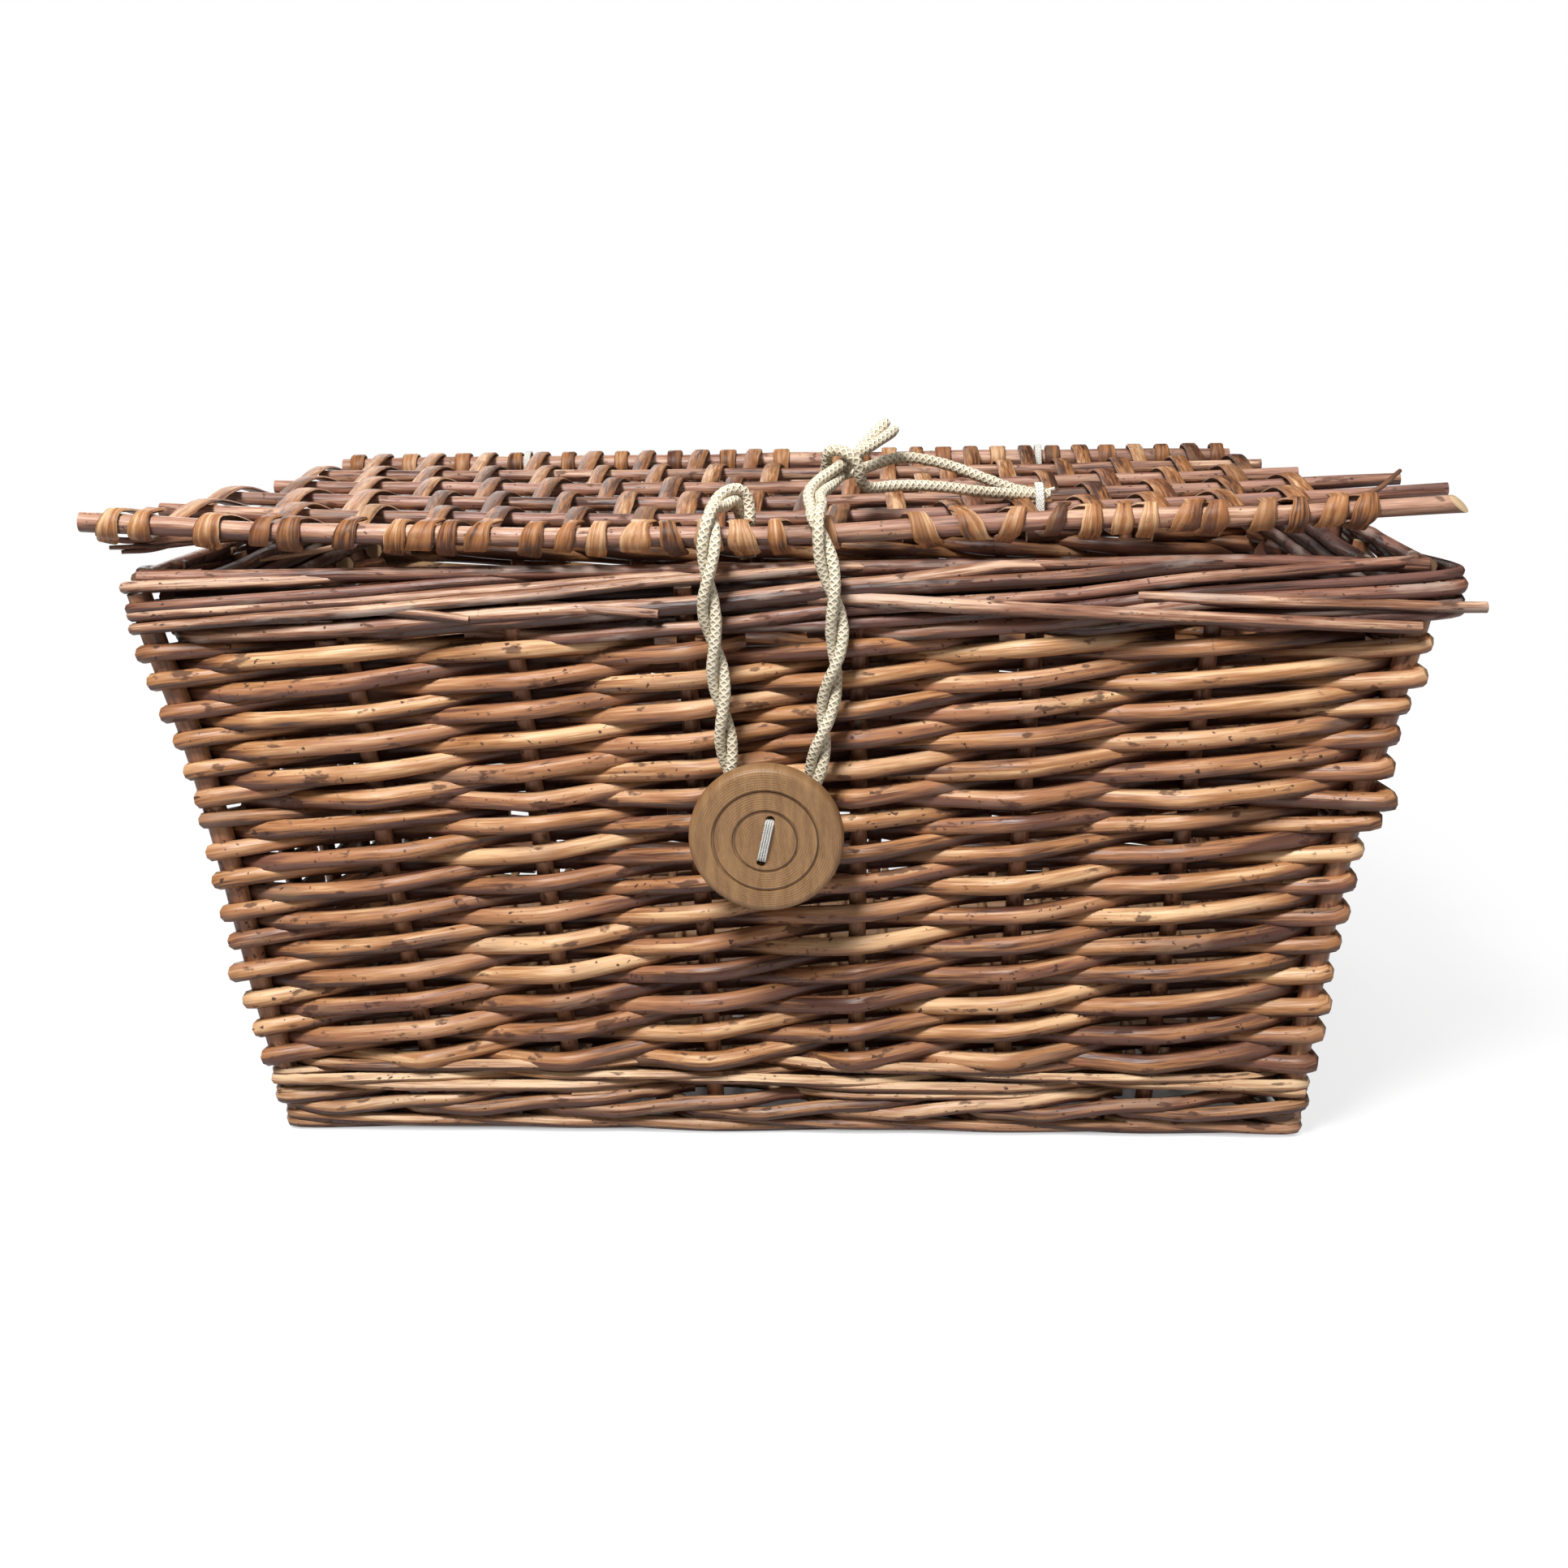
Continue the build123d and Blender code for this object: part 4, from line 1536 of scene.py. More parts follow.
    def sticks(self) -> None:
        """The front, back and inner sticks."""
        draw = random.Random(self.seed)
        finish = RodFinish(
            "willow_lid_sticks",
            pale=(0.60, 0.39, 0.255),
            middle=(0.29, 0.14, 0.083),
            dark=(0.045, 0.015, 0.009),
            blush=(0.36, 0.18, 0.14),
            core=(0.52, 0.37, 0.22),
            blush_share=0.6,
            specks=0.8,
            fibre=1.1,
        ).material()
        front = SweptMesh("lid_front_rod", painted_underside_shade=1.2)
        self.stick(front, self.front_y, self.front_ends, self.outer_radius, draw, self.outer_tone(draw))
        front.cut_end(self.stick_sides, back=Vector((-1.0, 0.0, 0.0)), facing=Vector((0.0, -0.7, 0.9)))
        claim(front.built(finish), Body.LID, "lid_stick_willow", "lid_front_stick")
        back = SweptMesh("lid_back_rod", painted_underside_shade=1.2)
        self.stick(back, self.hinge_y, self.back_ends, self.back_radius, draw, self.outer_tone(draw))
        claim(back.built(finish), Body.LID, "lid_stick_willow", "lid_back_stick")
        inner = SweptMesh("lid_inner_rods")
        for y, ends in zip(self.inner_places(), self.inner_ends):
            self.stick(inner, y, ends, self.inner_radius, draw, Tone.drawn(draw, 0.0, 0.65))
        claim(inner.built(finish), Body.LID, "lid_stick_willow", "lid_inner_sticks")

    def outer_tone(self, draw: random.Random) -> Tone:
        """Tone of the front or the back stick, with a grain of its own."""
        return Tone(0.62, 0.5, draw.random())

    def strips(self) -> None:
        """The strips: each goes over and under the inner sticks and is wrapped round both outer ones."""
        draw = random.Random(self.seed + 1)
        swept = SweptMesh("lid_woven_strips", painted_underside_shade=0.7)
        front_places = [place / 1000 for row in self.front_wraps for place in row]
        for number, front_x in zip(self.strip_numbers, front_places):
            self.strip(swept, number, front_x, draw)
        finish = RodFinish(
            "willow_lid_strips",
            pale=(0.62, 0.40, 0.225),
            middle=(0.31, 0.125, 0.04),
            dark=(0.05, 0.016, 0.007),
            blush=(0.24, 0.085, 0.035),
            worn=(0.22, 0.11, 0.05),
            core=(0.17, 0.085, 0.045),
            worn_share=0.5,
            specks=0.3,
            fibre=1.3,
            roughness=0.4,
            bump=0.0004,
            specular=0.35,
        )
        claim(swept.built(finish.material()), Body.LID, "lid_skein_willow", "lid_skeins")

    def strip(self, swept: SweptMesh, number: int, front_x: float, draw: random.Random) -> None:
        """Adds one strip. Strips with an odd number come up behind the front stick, the others go down.

        Args:
            swept: the mesh that it goes into.
            number: its number along the back stick, 0 at the lid's middle.
            front_x: its place along the front stick.
            draw: the seeded source of its differences.
        """
        side = 1 if number % 2 else -1
        # The wraps near the loop lean one way, all others the other way.
        lean = 1.0 if -0.03 < front_x < 0.06 else -0.7
        strip = LidStrip(
            lid=self,
            back_x=self.middle + self.strip_pitch * number,
            front_x=front_x,
            side=side,
            slant=draw.uniform(0.001, 0.005) * side * lean,
            body=draw.uniform(-0.2, 0.4),
            pale=draw.uniform(0.1, 0.95),
        )
        strip.wrap_front(draw.uniform(0.0035, 0.0065))
        strip.wrap_back(strip.weave(), draw)
        half_width = self.strip_width * draw.uniform(0.82, 1.0) / 2
        sizes = strip.sizes(half_width, draw.uniform(0.72, 1.25))
        tone = Tone(strip.body, draw.uniform(0, 1), draw.random())
        swept.sweep(strip.line, STRIP_SECTION, sizes, strip.rights(), tone, strip.pales)

    def twigs(self) -> None:
        """Broken twigs and curled strip ends at the lid's right and left edges."""
        draw = random.Random(self.seed + 3)
        swept = SweptMesh("lid_twig_ends")
        for points in (*DARK_TWIGS, PALE_TWIG):
            line = through([Vector(point) for point in points], 6)
            radii = tapered(line, draw.uniform(0.0010, 0.0014), 1.1, 0.6)
            dark = Tone.drawn(draw, -0.2, 0.3)
            swept.rod(line, radii, self.pale_twig_tone if points is PALE_TWIG else dark, 7)
        finish = RodFinish("willow_twigs", pale=(0.34, 0.18, 0.10), middle=(0.18, 0.08, 0.045))
        claim(swept.built(finish.material()), Body.LID, "lid_stick_willow")


@dataclass
class LidStrip:
    """One strip of the lid, drawn as a middle line from the front stick to the back one.

    The side is 1 for a strip that comes up behind the front stick and -1 for one that goes down. The
    slant is how far its wrap round the front stick leans, body is its paleness between the sticks and
    pale its paleness on the front stick.
    """

    lid: WovenLid
    back_x: float
    front_x: float
    side: int
    slant: float
    body: float
    pale: float
    steps: int = 8
    line: list[Vector] = field(default_factory=list)
    pales: list[float] = field(default_factory=list)

    @property
    def half(self) -> float:
        """Half of the strip's thickness."""
        return self.lid.strip_thickness / 2

    @property
    def front_wrap(self) -> float:
        """Distance of the strip's middle line from the front stick's axis."""
        return self.lid.outer_radius + self.half + self.lid.wrap_gap

    @property
    def back_wrap(self) -> float:
        """Distance of the strip's middle line from the back stick's axis."""
        return self.lid.back_radius + self.half + self.lid.wrap_gap

    @property
    def front_level(self) -> float:
        """Height of the front stick's axis where the strip is wrapped round it."""
        return self.lid.height(self.front_x, self.lid.front_y)

    def put(self, x: float, y: float, z: float, paleness: float) -> None:
        """Adds a point of the strip's middle line."""
        self.line.append(Vector((x, y, z)))
        self.pales.append(paleness)

    def wrap_front(self, reach: float) -> None:
        """Lays the strip's cut end behind the front stick, and half a turn round that stick.

        Args:
            reach: how far back the end of a strip that comes up lies over the lid.
        """
        front_x, front_y, slant = self.front_x, self.lid.front_y, self.slant
        wrap, level = self.front_wrap, self.front_level
        if self.side > 0:
            self.put(front_x - slant * 0.7, front_y + reach, level + wrap + 0.0001, self.pale)
            self.put(front_x - slant * 0.6, front_y + reach * 0.5, level + wrap, self.pale)
        else:
            self.put(front_x - slant * 0.75, front_y + 0.0014, level - wrap - 0.0013, 0.1)
            self.put(front_x - slant * 0.62, front_y + 0.0005, level - wrap - 0.0005, self.pale * 0.7)
        for step in range(self.steps + 1):
            angle = math.pi / 2 + math.pi * step / self.steps
            y = front_y + math.cos(angle) * wrap
            z = level + self.side * math.sin(angle) * wrap
            self.put(front_x - slant * (0.5 - step / self.steps), y, z, self.pale)

    def weave(self) -> float:
        """Takes the strip over and under the inner sticks to the back one.

        Returns:
            1 if it reaches the back stick from above, -1 from below.
        """
        lid = self.lid
        over = lid.inner_radius + self.half + lid.cross_gap
        stops = [(lid.front_y, -self.side * self.front_wrap)]
        for index, y in enumerate(lid.inner_places()):
            stops.append((y, (-self.side if index % 2 else self.side) * over))
        last = -stops[-1][1] / over
        stops.append((lid.hinge_y, last * self.back_wrap))
        for (y0, lift0), (y1, lift1) in zip(stops, stops[1:]):
            for step in range(1, self.steps + 1):
                if step == self.steps and y1 == lid.hinge_y:
                    continue
                share = step / self.steps
                y = y0 + (y1 - y0) * share
                lift = lift0 + (lift1 - lift0) * (0.5 - 0.5 * math.cos(math.pi * share))
                drift = self.front_x + self.slant * 0.5 - self.back_x
                x = self.back_x + drift * lid.forward(y) ** lid.drift_power
                fade = max(0.0, 1.0 - (y - lid.front_y) / lid.fade_length)
                self.put(x, y, lid.height(x, y) + lift, self.body + (self.pale - self.body) * fade)
        return last

    def wrap_back(self, last: float, draw: random.Random) -> None:
        """Lays half a turn round the back stick, and then the end: forward under the lid, or on round.

        Args:
            last: 1 if the strip comes from above, -1 from below.
            draw: the seeded source of the end's length.
        """
        lid, wrap, body = self.lid, self.back_wrap, self.body
        for step in range(self.steps + 1):
            angle = math.pi / 2 - math.pi * step / self.steps
            y = lid.hinge_y + math.cos(angle) * wrap
            self.put(self.back_x, y, lid.level + last * math.sin(angle) * wrap, body + 0.15)
        if last > 0:
            tail = draw.uniform(0.003, 0.006)
            self.put(self.back_x, lid.hinge_y - tail, lid.level - wrap - 0.0001, body)
            self.put(self.back_x, lid.hinge_y - tail - 0.002, lid.level - wrap + 0.0002, body - 0.2)
            return
        for step in range(1, self.steps):
            angle = -math.pi / 2 - math.pi * step / (self.steps + 1)
            spiral = wrap + 0.0001 * step
            y = lid.hinge_y + math.cos(angle) * spiral
            self.put(self.back_x, y, lid.level - math.sin(angle) * spiral, body + 0.15)

    def rights(self) -> list[Vector]:
        """Direction of the strip's width at each point, which follows the lid's curl.

        Returns:
            The directions.
        """
        lid = self.lid
        tilt = lid.bow * 2 * (self.front_x - lid.middle) / lid.bow_reach**2
        return [Vector((1.0, 0.0, tilt * max(0.0, min(1.0, lid.forward(place.y))))) for place in self.line]

    def sizes(self, half_width: float, front: float) -> list[tuple[float, float]]:
        """Half width and half thickness at each point.

        Args:
            half_width: the strip's usual half width.
            front: how much wider the strip is on the front stick.

        Returns:
            The sizes, narrow on top of the front stick and at the last point.
        """
        front_y, wrap, level = self.lid.front_y, self.front_wrap, self.front_level
        sizes = []
        for index, place in enumerate(self.line):
            share = 1.0 + 0.05 * math.sin(index * 0.9 + self.front_x * 300)
            near = max(0.0, 1.0 - (place.y - front_y) / self.lid.widening_length)
            share *= 1.0 + (front - 1.0) * min(1.0, near)
            if abs(place.y - front_y) < wrap:
                share *= 1.1 - 0.35 * max(0.0, (place.z - level) / wrap)
            if index == len(self.line) - 1:
                share = 0.5
            sizes.append((half_width * share, self.half))
        return sizes


# ---------------------------------------------------------------- closure


@dataclass
class CordRun:
    """A cord of one or more strands, along a smooth spline through its route's control points."""

    name: str
    route: tuple[Point, ...]
    diameter: float
    strands: int = 2
    lay: float = 0.036
    spline_steps: int = 12
    least_step: float = 0.0009
    sides: int = 12

    def centre_line(self) -> list[Vector]:
        """The points of the route's own NURBS spline.

        Returns:
            The points, in order and not too close together.
        """
        curve = bpy.data.curves.new(f"{self.name}_route", "CURVE")
        curve.dimensions = "3D"
        curve.resolution_u = self.spline_steps
        spline = curve.splines.new("NURBS")
        spline.points.add(len(self.route) - 1)
        for point, place in zip(spline.points, self.route):
            point.co = (*place, 1.0)
        spline.order_u = 3
        spline.use_endpoint_u = True
        holder = bpy.data.objects.new(f"{self.name}_route", curve)
        bpy.context.scene.collection.objects.link(holder)
        mesh = bpy.data.meshes.new_from_object(holder)
        line = [vertex.co.copy() for vertex in mesh.vertices]
        bpy.data.objects.remove(holder)
        bpy.data.meshes.remove(mesh)
        even = [line[0]]
        for place in line[1:]:
            if (place - even[-1]).length > self.least_step:
                even.append(place)
        return even

    def strand_line(self, centre: list[Vector], number: int) -> list[Vector]:
        """The middle line of one strand, wound round the cord's centre line.

        Args:
            centre: the cord's centre line.
            number: the strand's number.

        Returns:
            The strand's points.
        """
        reach = 0.0 if self.strands == 1 else self.diameter / 4
        right = (centre[1] - centre[0]).orthogonal().normalized()
        line = []
        run = 0.0
        for index, here in enumerate(centre):
            ahead = centre[min(index + 1, len(centre) - 1)] - centre[max(index - 1, 0)]
            ahead.normalize()
            right = (right - ahead * right.dot(ahead)).normalized()
            if index:
                run += (here - centre[index - 1]).length
            angle = 2 * math.pi * (run / self.lay + number / self.strands)
            away = right * math.cos(angle) + ahead.cross(right) * math.sin(angle)
            line.append(here + away * reach)
        return line

    def laid(self, finish: Material) -> tuple[Piece, list[Point]]:
        """Builds the cord's strands, laid round each other.

        Args:
            finish: the strands' material.

        Returns:
            The piece and the points of its centre line.
        """
        centre = self.centre_line()
        swept = SweptMesh(self.name)
        radius = self.diameter / 2 if self.strands == 1 else self.diameter / 4 * 0.98
        for number in range(self.strands):
            line = self.strand_line(centre, number)
            radii = [radius * (1.0 + 0.035 * math.sin(index * 1.3)) for index in range(len(line))]
            for index in (0, -1):
                radii[index] *= 0.75
            swept.rod(line, radii, Tone(0.8, 0.0, 0.13 + 0.31 * number), self.sides)
        return swept.built(finish), [tuple(place) for place in centre]


def knot_ring(centre: Vector, swing: Matrix, steps: int, size: float, wave: float) -> list[Vector]:
    """A wavy closed ring, one of the turns of a small knot.

    Args:
        centre: the knot's middle.
        swing: how the ring is turned.
        steps: points round the ring.
        size: the ring's radius.
        wave: how far it waves out of its plane.

    Returns:
        The ring's points, the first again at the end.
    """
    ring = []
    for step in range(steps + 1):
        angle = 2 * math.pi * step / steps
        place = Vector((math.cos(angle) * size, math.sin(angle) * size, math.sin(2 * angle) * wave))
        ring.append(centre + swing @ place)
    return ring


@dataclass
class Lashing:
    """A short tie of a few turns of thin cord, closed by a knot with two cut tails."""

    name: str
    node: str
    body: Body
    cord: float = 0.0011
    turns: int = 3
    turn_steps: int = 24
    knot_angle: float = 0.6
    squareness: float = 0.8
    slack: float = 0.0003
    tail_step: Point = (0.0011, -0.0002, 0.0003)

    def piece(self, finish: Material) -> None:
        """Builds the tie in the place of its solid.

        Args:
            finish: the cord's material.
        """
        low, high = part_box(self.node)
        middle = (low + high) / 2
        reach = self.cord / 2 + self.slack
        half_y = (high.y - low.y) / 2 - reach
        half_z = (high.z - low.z) / 2 - reach
        swept = SweptMesh(self.name)
        line = []
        for step in range(self.turn_steps * self.turns + 1):
            angle = 2 * math.pi * step / self.turn_steps + self.knot_angle
            pull = (step / self.turn_steps / self.turns - 0.5) * 1.9 * self.cord
            across = math.copysign(abs(math.cos(angle)) ** self.squareness, math.cos(angle)) * half_y
            above = math.copysign(abs(math.sin(angle)) ** self.squareness, math.sin(angle)) * half_z
            line.append(middle + Vector((pull, across, above)))
        swept.rod(line, [self.cord / 2] * len(line), Tone(0.8, 0.0, 0.2), 8)
        aside, lift = math.cos(self.knot_angle), math.sin(self.knot_angle)
        self.knot(swept, middle + Vector((0.0, aside * half_y * 0.92, lift * half_z * 0.96)))
        claim(swept.built(finish), self.body, "tie_cord", self.node)

    def knot(self, swept: SweptMesh, place: Vector) -> None:
        """Adds the knot and its two tails.

        Args:
            swept: the mesh that they go into.
            place: the knot's middle.
        """
        for turn in range(3):
            swing = Matrix.Rotation(turn * 1.05, 3, "X")
            ring = knot_ring(place, swing, steps=12, size=1.15 * self.cord, wave=0.35 * self.cord)
            swept.rod(ring, [self.cord * 0.48] * len(ring), Tone(0.8, 0.0, 0.4 + turn * 0.2), 8)
        aside, forward, rise = self.tail_step
        for way in (-1.0, 1.0):
            tail = [place]
            for step in range(1, 5):
                tail.append(place + Vector((way * aside * step, forward * step, rise * step * way)))
            swept.rod(tail, [self.cord * 0.44] * len(tail), Tone(0.8, 0.0, 0.7), 7)


@dataclass
class ButtonThread:
    """The thread that holds the button: flat stitches over its face, and a wound shank behind it.

    The shank's axis crosses the middles of the front stakes at x and at a level. Back and front are
    distances out from there. The points of half a stitch, from a hole inwards, each give a share of the
    way to the hole and a height over the button's face.
    """

    ring: StakeRing
    x: float = -0.0017
    level: float = 0.0979
    back: float = 0.01635
    front: float = 0.02235
    spacing: float = 0.0124
    turn: float = math.radians(13)
    thread: float = 0.00052
    stitches: int = 4
    half_stitch: tuple[tuple[float, float], ...] = (
        (0.95, -0.0052),
        (0.95, -0.0012),
        (0.9, 0.0001),
        (0.75, 0.00062),
        (0.3, 0.00072),
    )
    knot_radius: float = 0.0022
    knot_thread: float = 0.0006
    core_radius: float = 0.00045
    winding_radius: float = 0.00042
    winding_end: float = 0.0013
    winding_reach: float = 0.00046
    last_reach: float = 0.00032
    turns: int = 24
    turn_steps: int = 8

    @property
    def place(self) -> Vector:
        """Where the shank's axis crosses the stakes' middles."""
        return self.ring.point(Wall.FRONT, self.x, 0.0, self.level)

    @property
    def out(self) -> Vector:
        """Direction out of the front wall."""
        return Vector((0.0, -math.cos(self.ring.lean), -math.sin(self.ring.lean)))

    @property
    def up(self) -> Vector:
        """Direction up along the front wall."""
        return Vector((0.0, -math.sin(self.ring.lean), math.cos(self.ring.lean)))

    def along_shank(self, distance: float) -> Vector:
        """A place on the shank's axis, by its distance out from the stakes' middles."""
        return self.place + self.out * distance

    def pieces(self, finish: Material) -> None:
        """Builds the stitches and the shank.

        Args:
            finish: the thread's material.
        """
        self.stitching(finish)
        self.shank(finish)

    def stitching(self, finish: Material) -> None:
        """Builds the stitches side by side over the face, and the two that pass behind the button.

        Args:
            finish: the thread's material.
        """
        way = self.up * math.cos(self.turn) + Vector((math.sin(self.turn), 0.0, 0.0))
        side = self.out.cross(way).normalized()
        half = self.spacing / 2
        stitch = [(-along, above) for along, above in self.half_stitch] + list(self.half_stitch[::-1])
        swept = SweptMesh("button_stitches")
        for number in range(self.stitches):
            shift = (number - (self.stitches - 1) / 2) * self.thread * 0.93
            points = []
            for along, above in stitch:
                inward = 1.0 if abs(along) > 0.9 else 1.25
                place = self.along_shank(self.front + above - 0.0001 * (number % 2))
                points.append(place + way * (along * half) + side * (shift * inward))
            line = through(points, 4)
            swept.rod(line, [self.thread / 2] * len(line), Tone(0.9, 0.0, 0.2 * number), 8)
        for over in (-1.0, 1.0):
            start = self.along_shank(self.back - 0.0005)
            points = [start + way * (over * share * half) for share in (-1.0, -0.4, 0.4, 1.0)]
            line = through([place + side * (0.0004 * over) for place in points], 4)
            swept.rod(line, [self.thread * 0.7] * len(line), Tone(0.9, 0.0, 0.5), 8)
        claim(swept.built(finish), Body.BUTTON, "button_thread", "button_stitch")

    def shank(self, finish: Material) -> None:
        """Builds the shank: a core with thread wound round it, and a knot at its end towards the wall.

        Args:
            finish: the thread's material.
        """
        inner_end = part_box("button_shank")[1].y
        start = (self.place.y - inner_end) / self.out.y + self.knot_radius
        length = self.back - self.winding_end - start
        swept = SweptMesh("button_shank_winding")
        core = [self.along_shank(start + length * step / 10) for step in range(11)]
        swept.rod(core, [self.core_radius] * len(core), Tone(0.8, 0.0, 0.1), 10)
        right = Vector((1.0, 0.0, 0.0))
        wound = []
        steps = self.turns * self.turn_steps
        for step in range(steps + 1):
            angle = 2 * math.pi * step / self.turn_steps
            away = right * math.cos(angle) + self.up * math.sin(angle)
            reach = self.winding_reach if step < steps - 6 else self.last_reach
            wound.append(self.along_shank(start + length * step / steps) + away * reach)
        swept.rod(wound, [self.winding_radius] * len(wound), Tone(0.9, 0.0, 0.6), 6)
        for turn in range(4):
            swing = Matrix.Rotation(turn * 0.8, 3, "X") @ Matrix.Rotation(turn * 0.5, 3, "Z")
            ring = knot_ring(self.along_shank(start), swing, steps=16, size=0.0015, wave=0.0005)
            swept.rod(ring, [self.knot_thread] * len(ring), Tone(0.9, 0.0, 0.3), 8)
        claim(swept.built(finish), Body.BASKET, "button_thread", "button_shank")


@dataclass
class Closure:
    """The doubled cord that loops over the button, its loose finger, its keeper, and the button."""

    ring: StakeRing
    nodes: dict[str, Piece]
    pair: float = 0.0062
    single: float = 0.0031
    finger_lay: float = 0.07
    loop_route: tuple[Point, ...] = (
        (-0.014, -0.126705, 0.180644),
        (-0.014, -0.135605, 0.180644),
        (-0.0158, -0.134905, 0.16),
        (-0.0141, -0.132399, 0.146),
        (-0.0125, -0.129749, 0.126),
        (-0.0116, -0.127893, 0.112),
        (-0.0105, -0.125905, 0.097),
        (-0.0074, -0.124514, 0.0865),
        (0.004, -0.124514, 0.0865),
        (0.0072, -0.125905, 0.097),
        (0.0115, -0.127893, 0.112),
        (0.0149, -0.130279, 0.13),
        (0.018, -0.132399, 0.146),
        (0.0172, -0.134905, 0.16),
        (0.0125, -0.135605, 0.180644),
        (0.0125, -0.126705, 0.180644),
    )
    root_route: tuple[Point, ...] = (
        (-0.014, -0.126705, 0.180644),
        (-0.014, -0.122705, 0.180644),
        (-0.0105, -0.117905, 0.184244),
        (-0.0066, -0.114105, 0.182844),
        (-0.0066, -0.114105, 0.166744),
    )
    finger_route: tuple[Point, ...] = (
        (0.0125, -0.126705, 0.180644),
        (0.0125, -0.122505, 0.180644),
        (0.0109, -0.116205, 0.184044),
        (0.0163, -0.106005, 0.187144),
        (0.023, -0.096005, 0.192744),
        (0.0313, -0.087005, 0.199144),
    )
    keeper_route: tuple[Point, ...] = (
        (0.075, -0.078675, 0.178962),
        (0.0681, -0.078675, 0.178962),
        (0.056, -0.085825, 0.180562),
        (0.043, -0.090825, 0.182962),
        (0.0315, -0.094825, 0.183562),
        (0.023103, -0.102362, 0.183167),
        (0.023103, -0.107492, 0.192328),
        (0.014039, -0.102869, 0.194917),
        (0.014039, -0.097739, 0.185756),
        (0.023, -0.086325, 0.187162),
        (0.033, -0.079825, 0.190362),
        (0.045, -0.077825, 0.188162),
        (0.057, -0.076325, 0.183362),
        (0.0681, -0.074975, 0.178962),
        (0.075, -0.074975, 0.178962),
    )

    def pieces(self) -> None:
        """Builds and dresses the cords, the button and the ties."""
        self.cords()
        self.button()
        self.ties()

    def cords(self) -> None:
        """Builds the cords."""
        cotton = CordFinish("cotton_cord").material()
        loop, line = CordRun("cord_loop", self.loop_route, self.pair).laid(cotton)
        root, _ = CordRun("cord_root", self.root_route, self.pair).laid(cotton)
        finger_cord = CordRun("cord_finger", self.finger_route, self.pair, lay=self.finger_lay)
        finger, finger_line = finger_cord.laid(cotton)
        keeper, keeper_line = CordRun("cord_keeper", self.keeper_route, self.single, strands=1).laid(cotton)
        claim(loop, Body.LOOP, "loop_cord", "closure_loop")
        claim(root, Body.LID, "loop_cord", "loop_root")
        claim(finger, Body.LID, "loop_cord", "loop_finger")
        claim(keeper, Body.LID, "keeper_cord", "keeper_cord")

    def run(self, line: list[Point]) -> float:
        """Length of a line of points."""
        return sum((Vector(b) - Vector(a)).length for a, b in zip(line, line[1:]))

    def button(self) -> None:
        """Dresses the turned button and builds its thread."""
        low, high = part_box("button")
        centre = tuple((one + two) / 2 for one, two in zip(low, high))
        dress(self.nodes["button"], ButtonFinish("turned_button_wood", centre, self.ring.lean).material())
        thread = CordFinish("button_thread_cotton", (0.93, 0.91, 0.87), (0.84, 0.82, 0.77), 12.0, 0.05)
        ButtonThread(self.ring).pieces(thread.material())

    def ties(self) -> None:
        """Builds the two hinge ties and the keeper's tie of white string."""
        string = CordFinish("white_tie_string", (0.88, 0.86, 0.80), (0.62, 0.56, 0.46), 9.0, 0.2).material()
        Lashing("left_hinge_lashing", "hinge_tie_left", Body.BASKET).piece(string)
        Lashing("right_hinge_lashing", "hinge_tie_right", Body.BASKET).piece(string)
        Lashing("keeper_lashing", "keeper_tie", Body.LID).piece(string)


@dataclass
class BaseMat:
    """The woven base, which keeps the shape of its solids."""

    nodes: dict[str, Piece]

    def pieces(self) -> None:
        """Dresses the base sticks, and the rods woven over and under them."""
        dress(self.nodes["base_sticks"], StickFinish("willow_base_sticks", Grain.X).material())
        rods = StickFinish("willow_base_rods", Grain.Y, pale=(0.52, 0.31, 0.16), dark=(0.20, 0.09, 0.05))
        dress(self.nodes["base_weave"], rods.material())


# ---------------------------------------------------------------- studio


@dataclass(frozen=True)
class Lamp:
    """A square soft lamp."""

    kind: Lighting
    place: Point
    size: float
    power: float


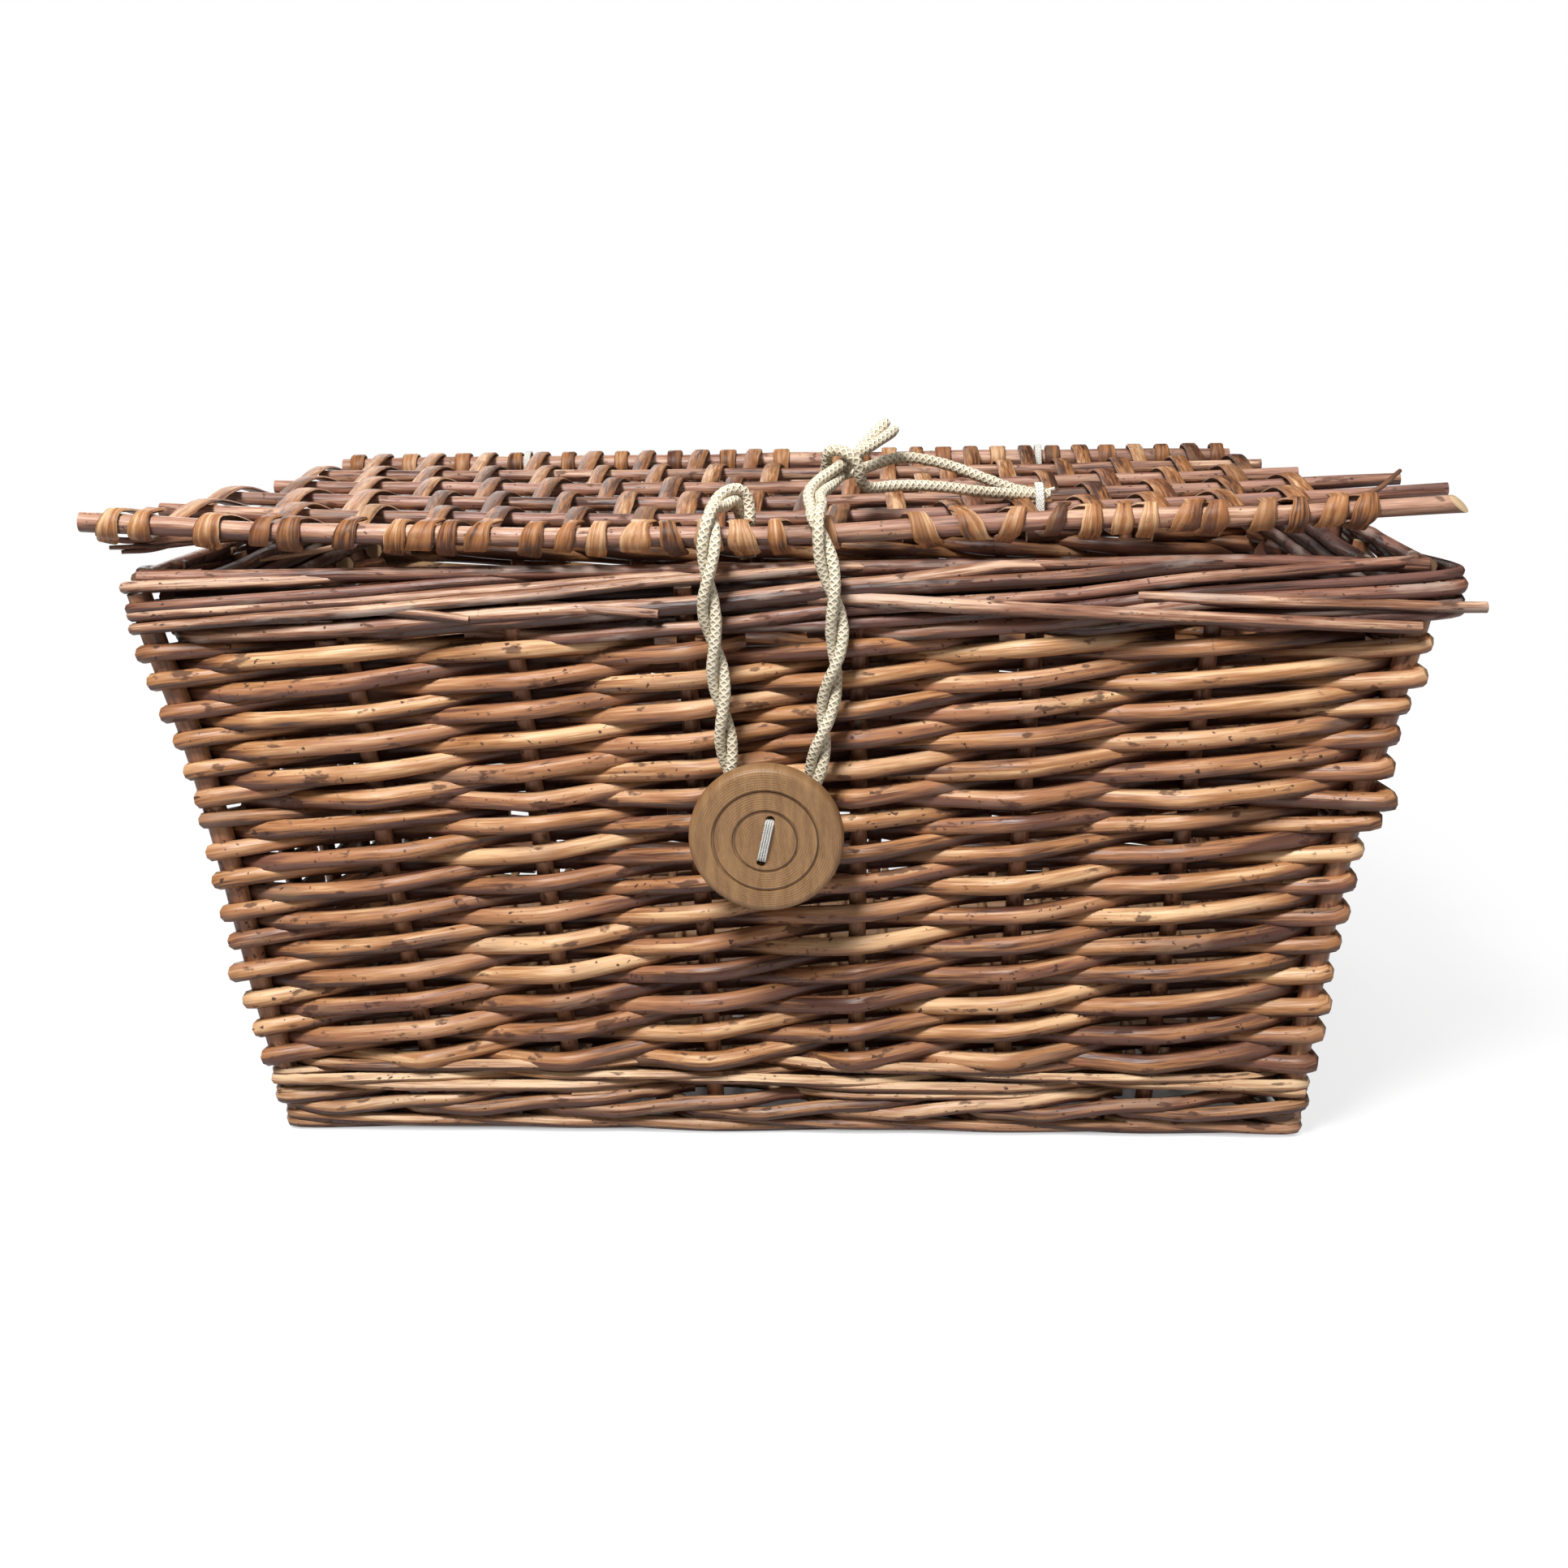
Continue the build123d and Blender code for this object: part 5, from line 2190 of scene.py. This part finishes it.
@dataclass
class Studio:
    """Plain pale floor, soft lamps and the camera.

    The focal length is in pixels of a picture whose longer side has picture_side pixels.
    """

    camera_place: Point = (0.040315, -0.669541, 0.239051)
    yaw: float = 0.069
    pitch: float = 0.236
    roll: float = -0.019
    focal: float = 2600.0
    picture_side: float = 1932.0
    sensor: float = 36.0
    floor_radius: float = 6.0
    floor_tint: Colour = (0.93, 0.93, 0.93)
    bounce_tint: Colour = (0.35, 0.34, 0.33)
    footprint: tuple[float, float] = (0.142, 0.102)
    shadow_reach: tuple[float, float] = (0.16, 0.42)
    world_strength: float = 0.05
    aim: Point = (0.0, 0.0, 0.09)
    lamp_set: tuple[Lamp, ...] = (
        Lamp(Lighting.KEY, (-0.25, -0.8, 1.05), 0.3, 23.0),
        Lamp(Lighting.TOP, (0.15, 0.05, 1.25), 0.4, 4.5),
        Lamp(Lighting.FILL, (0.95, -0.8, 0.6), 0.5, 2.5),
        Lamp(Lighting.BACK, (-0.5, 1.1, 0.6), 0.6, 5.0),
    )

    def camera(self) -> None:
        """Makes the camera."""
        sin_yaw, cos_yaw = math.sin(self.yaw), math.cos(self.yaw)
        level = math.cos(self.pitch)
        ahead = Vector((-sin_yaw * level, cos_yaw * level, -math.sin(self.pitch)))
        right = Vector((cos_yaw, sin_yaw, 0.0))
        up = right.cross(ahead)
        across = right * math.cos(self.roll) + up * math.sin(self.roll)
        above = up * math.cos(self.roll) - right * math.sin(self.roll)
        data = bpy.data.cameras.new("camera")
        data.sensor_width = self.sensor
        data.lens = self.focal / self.picture_side * self.sensor
        data.clip_start = 0.01
        camera = bpy.data.objects.new("camera", data)
        turn = Matrix((across, above, -ahead)).transposed()
        camera.matrix_world = Matrix.Translation(self.camera_place) @ turn.to_4x4()
        bpy.context.scene.collection.objects.link(camera)
        bpy.context.scene.camera = camera

    def floor(self) -> None:
        """Makes the floor, white to the camera away from the shadow."""
        bpy.ops.mesh.primitive_circle_add(vertices=96, radius=self.floor_radius, fill_type="NGON")
        floor = bpy.context.object
        floor.name = "floor"
        floor.data.materials.append(self.floor_material())

    def floor_material(self) -> Material:
        """The floor's material: a plain surface, lit white for the camera but for the object's shadow.

        Returns:
            The material.
        """
        material = bpy.data.materials.new("floor_white")
        material.use_nodes = True
        tree = material.node_tree
        shader = tree.nodes["Principled BSDF"]
        shader.inputs["Roughness"].default_value = 0.9
        shader.inputs["Specular IOR Level"].default_value = 0.1
        glow = fed_node(tree, "ShaderNodeEmission")
        glow.inputs["Color"].default_value = WHITE
        place = fed_node(tree, "ShaderNodeTexCoord").outputs["Object"]
        length = fed_node(tree, "ShaderNodeVectorMath", place, operation="LENGTH").outputs["Value"]
        fade = plus(tree, times(tree, ramped(tree, length, *self.shadow_reach), 0.2), 0.8)
        clear = 0.0
        for side, half in zip(fed_node(tree, "ShaderNodeSeparateXYZ", place).outputs, self.footprint):
            away = minus(tree, maths(tree, Maths.ABSOLUTE, side), half)
            clear = maths(tree, Maths.MAXIMUM, clear, ramped(tree, away, -0.002, 0.004))
        fade = times(tree, fade, clear)
        light = fed_node(tree, "ShaderNodeLightPath")
        factor = times(tree, fade, light.outputs["Is Camera Ray"])
        diffuse = light.outputs["Is Diffuse Ray"]
        bounce = blended(tree, diffuse, opaque(self.floor_tint), opaque(self.bounce_tint))
        tree.links.new(bounce, shader.inputs["Base Color"])
        mixed = fed_node(tree, "ShaderNodeMixShader", factor, shader.outputs[0], glow.outputs[0])
        tree.links.new(mixed.outputs[0], tree.nodes["Material Output"].inputs["Surface"])
        return material

    def lamps(self) -> None:
        """Makes the soft lamps and the world's light."""
        for lamp in self.lamp_set:
            data = bpy.data.lights.new(lamp.kind.value, "AREA")
            data.size = lamp.size
            data.energy = lamp.power
            made = bpy.data.objects.new(lamp.kind.value, data)
            made.location = lamp.place
            aim = Vector(self.aim) - Vector(lamp.place)
            made.rotation_euler = aim.to_track_quat("-Z", "Y").to_euler()
            bpy.context.scene.collection.objects.link(made)
        self.world()
        bpy.context.scene.view_settings.view_transform = "Standard"

    def world(self) -> None:
        """Makes the world: a weak even light, white where the camera sees it."""
        world = bpy.data.worlds.new("studio")
        world.use_nodes = True
        tree = world.node_tree
        plain = tree.nodes["Background"]
        plain.inputs["Color"].default_value = WHITE
        plain.inputs["Strength"].default_value = self.world_strength
        white = fed_node(tree, "ShaderNodeBackground")
        white.inputs["Strength"].default_value = 1.0
        white.inputs["Color"].default_value = WHITE
        light = fed_node(tree, "ShaderNodeLightPath")
        camera, glass = light.outputs["Is Camera Ray"], light.outputs["Is Transmission Ray"]
        seen = maths(tree, Maths.MAXIMUM, camera, glass)
        mixed = fed_node(tree, "ShaderNodeMixShader", seen, plain.outputs[0], white.outputs[0])
        tree.links.new(mixed.outputs[0], tree.nodes["World Output"].inputs["Surface"])
        bpy.context.scene.world = world


def main() -> None:
    """Builds the basket in order."""
    logging.basicConfig(level=logging.INFO, format="%(name)s: %(message)s")
    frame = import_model()
    nodes = frame["nodes"]
    ring = StakeRing()
    studio = Studio()
    studio.camera()
    Closure(ring, nodes).pieces()
    WovenWalls(ring).pieces()
    WovenLid().pieces()
    BaseMat(nodes).pieces()
    studio.floor()
    studio.lamps()


if __name__ == "__main__":
    main()
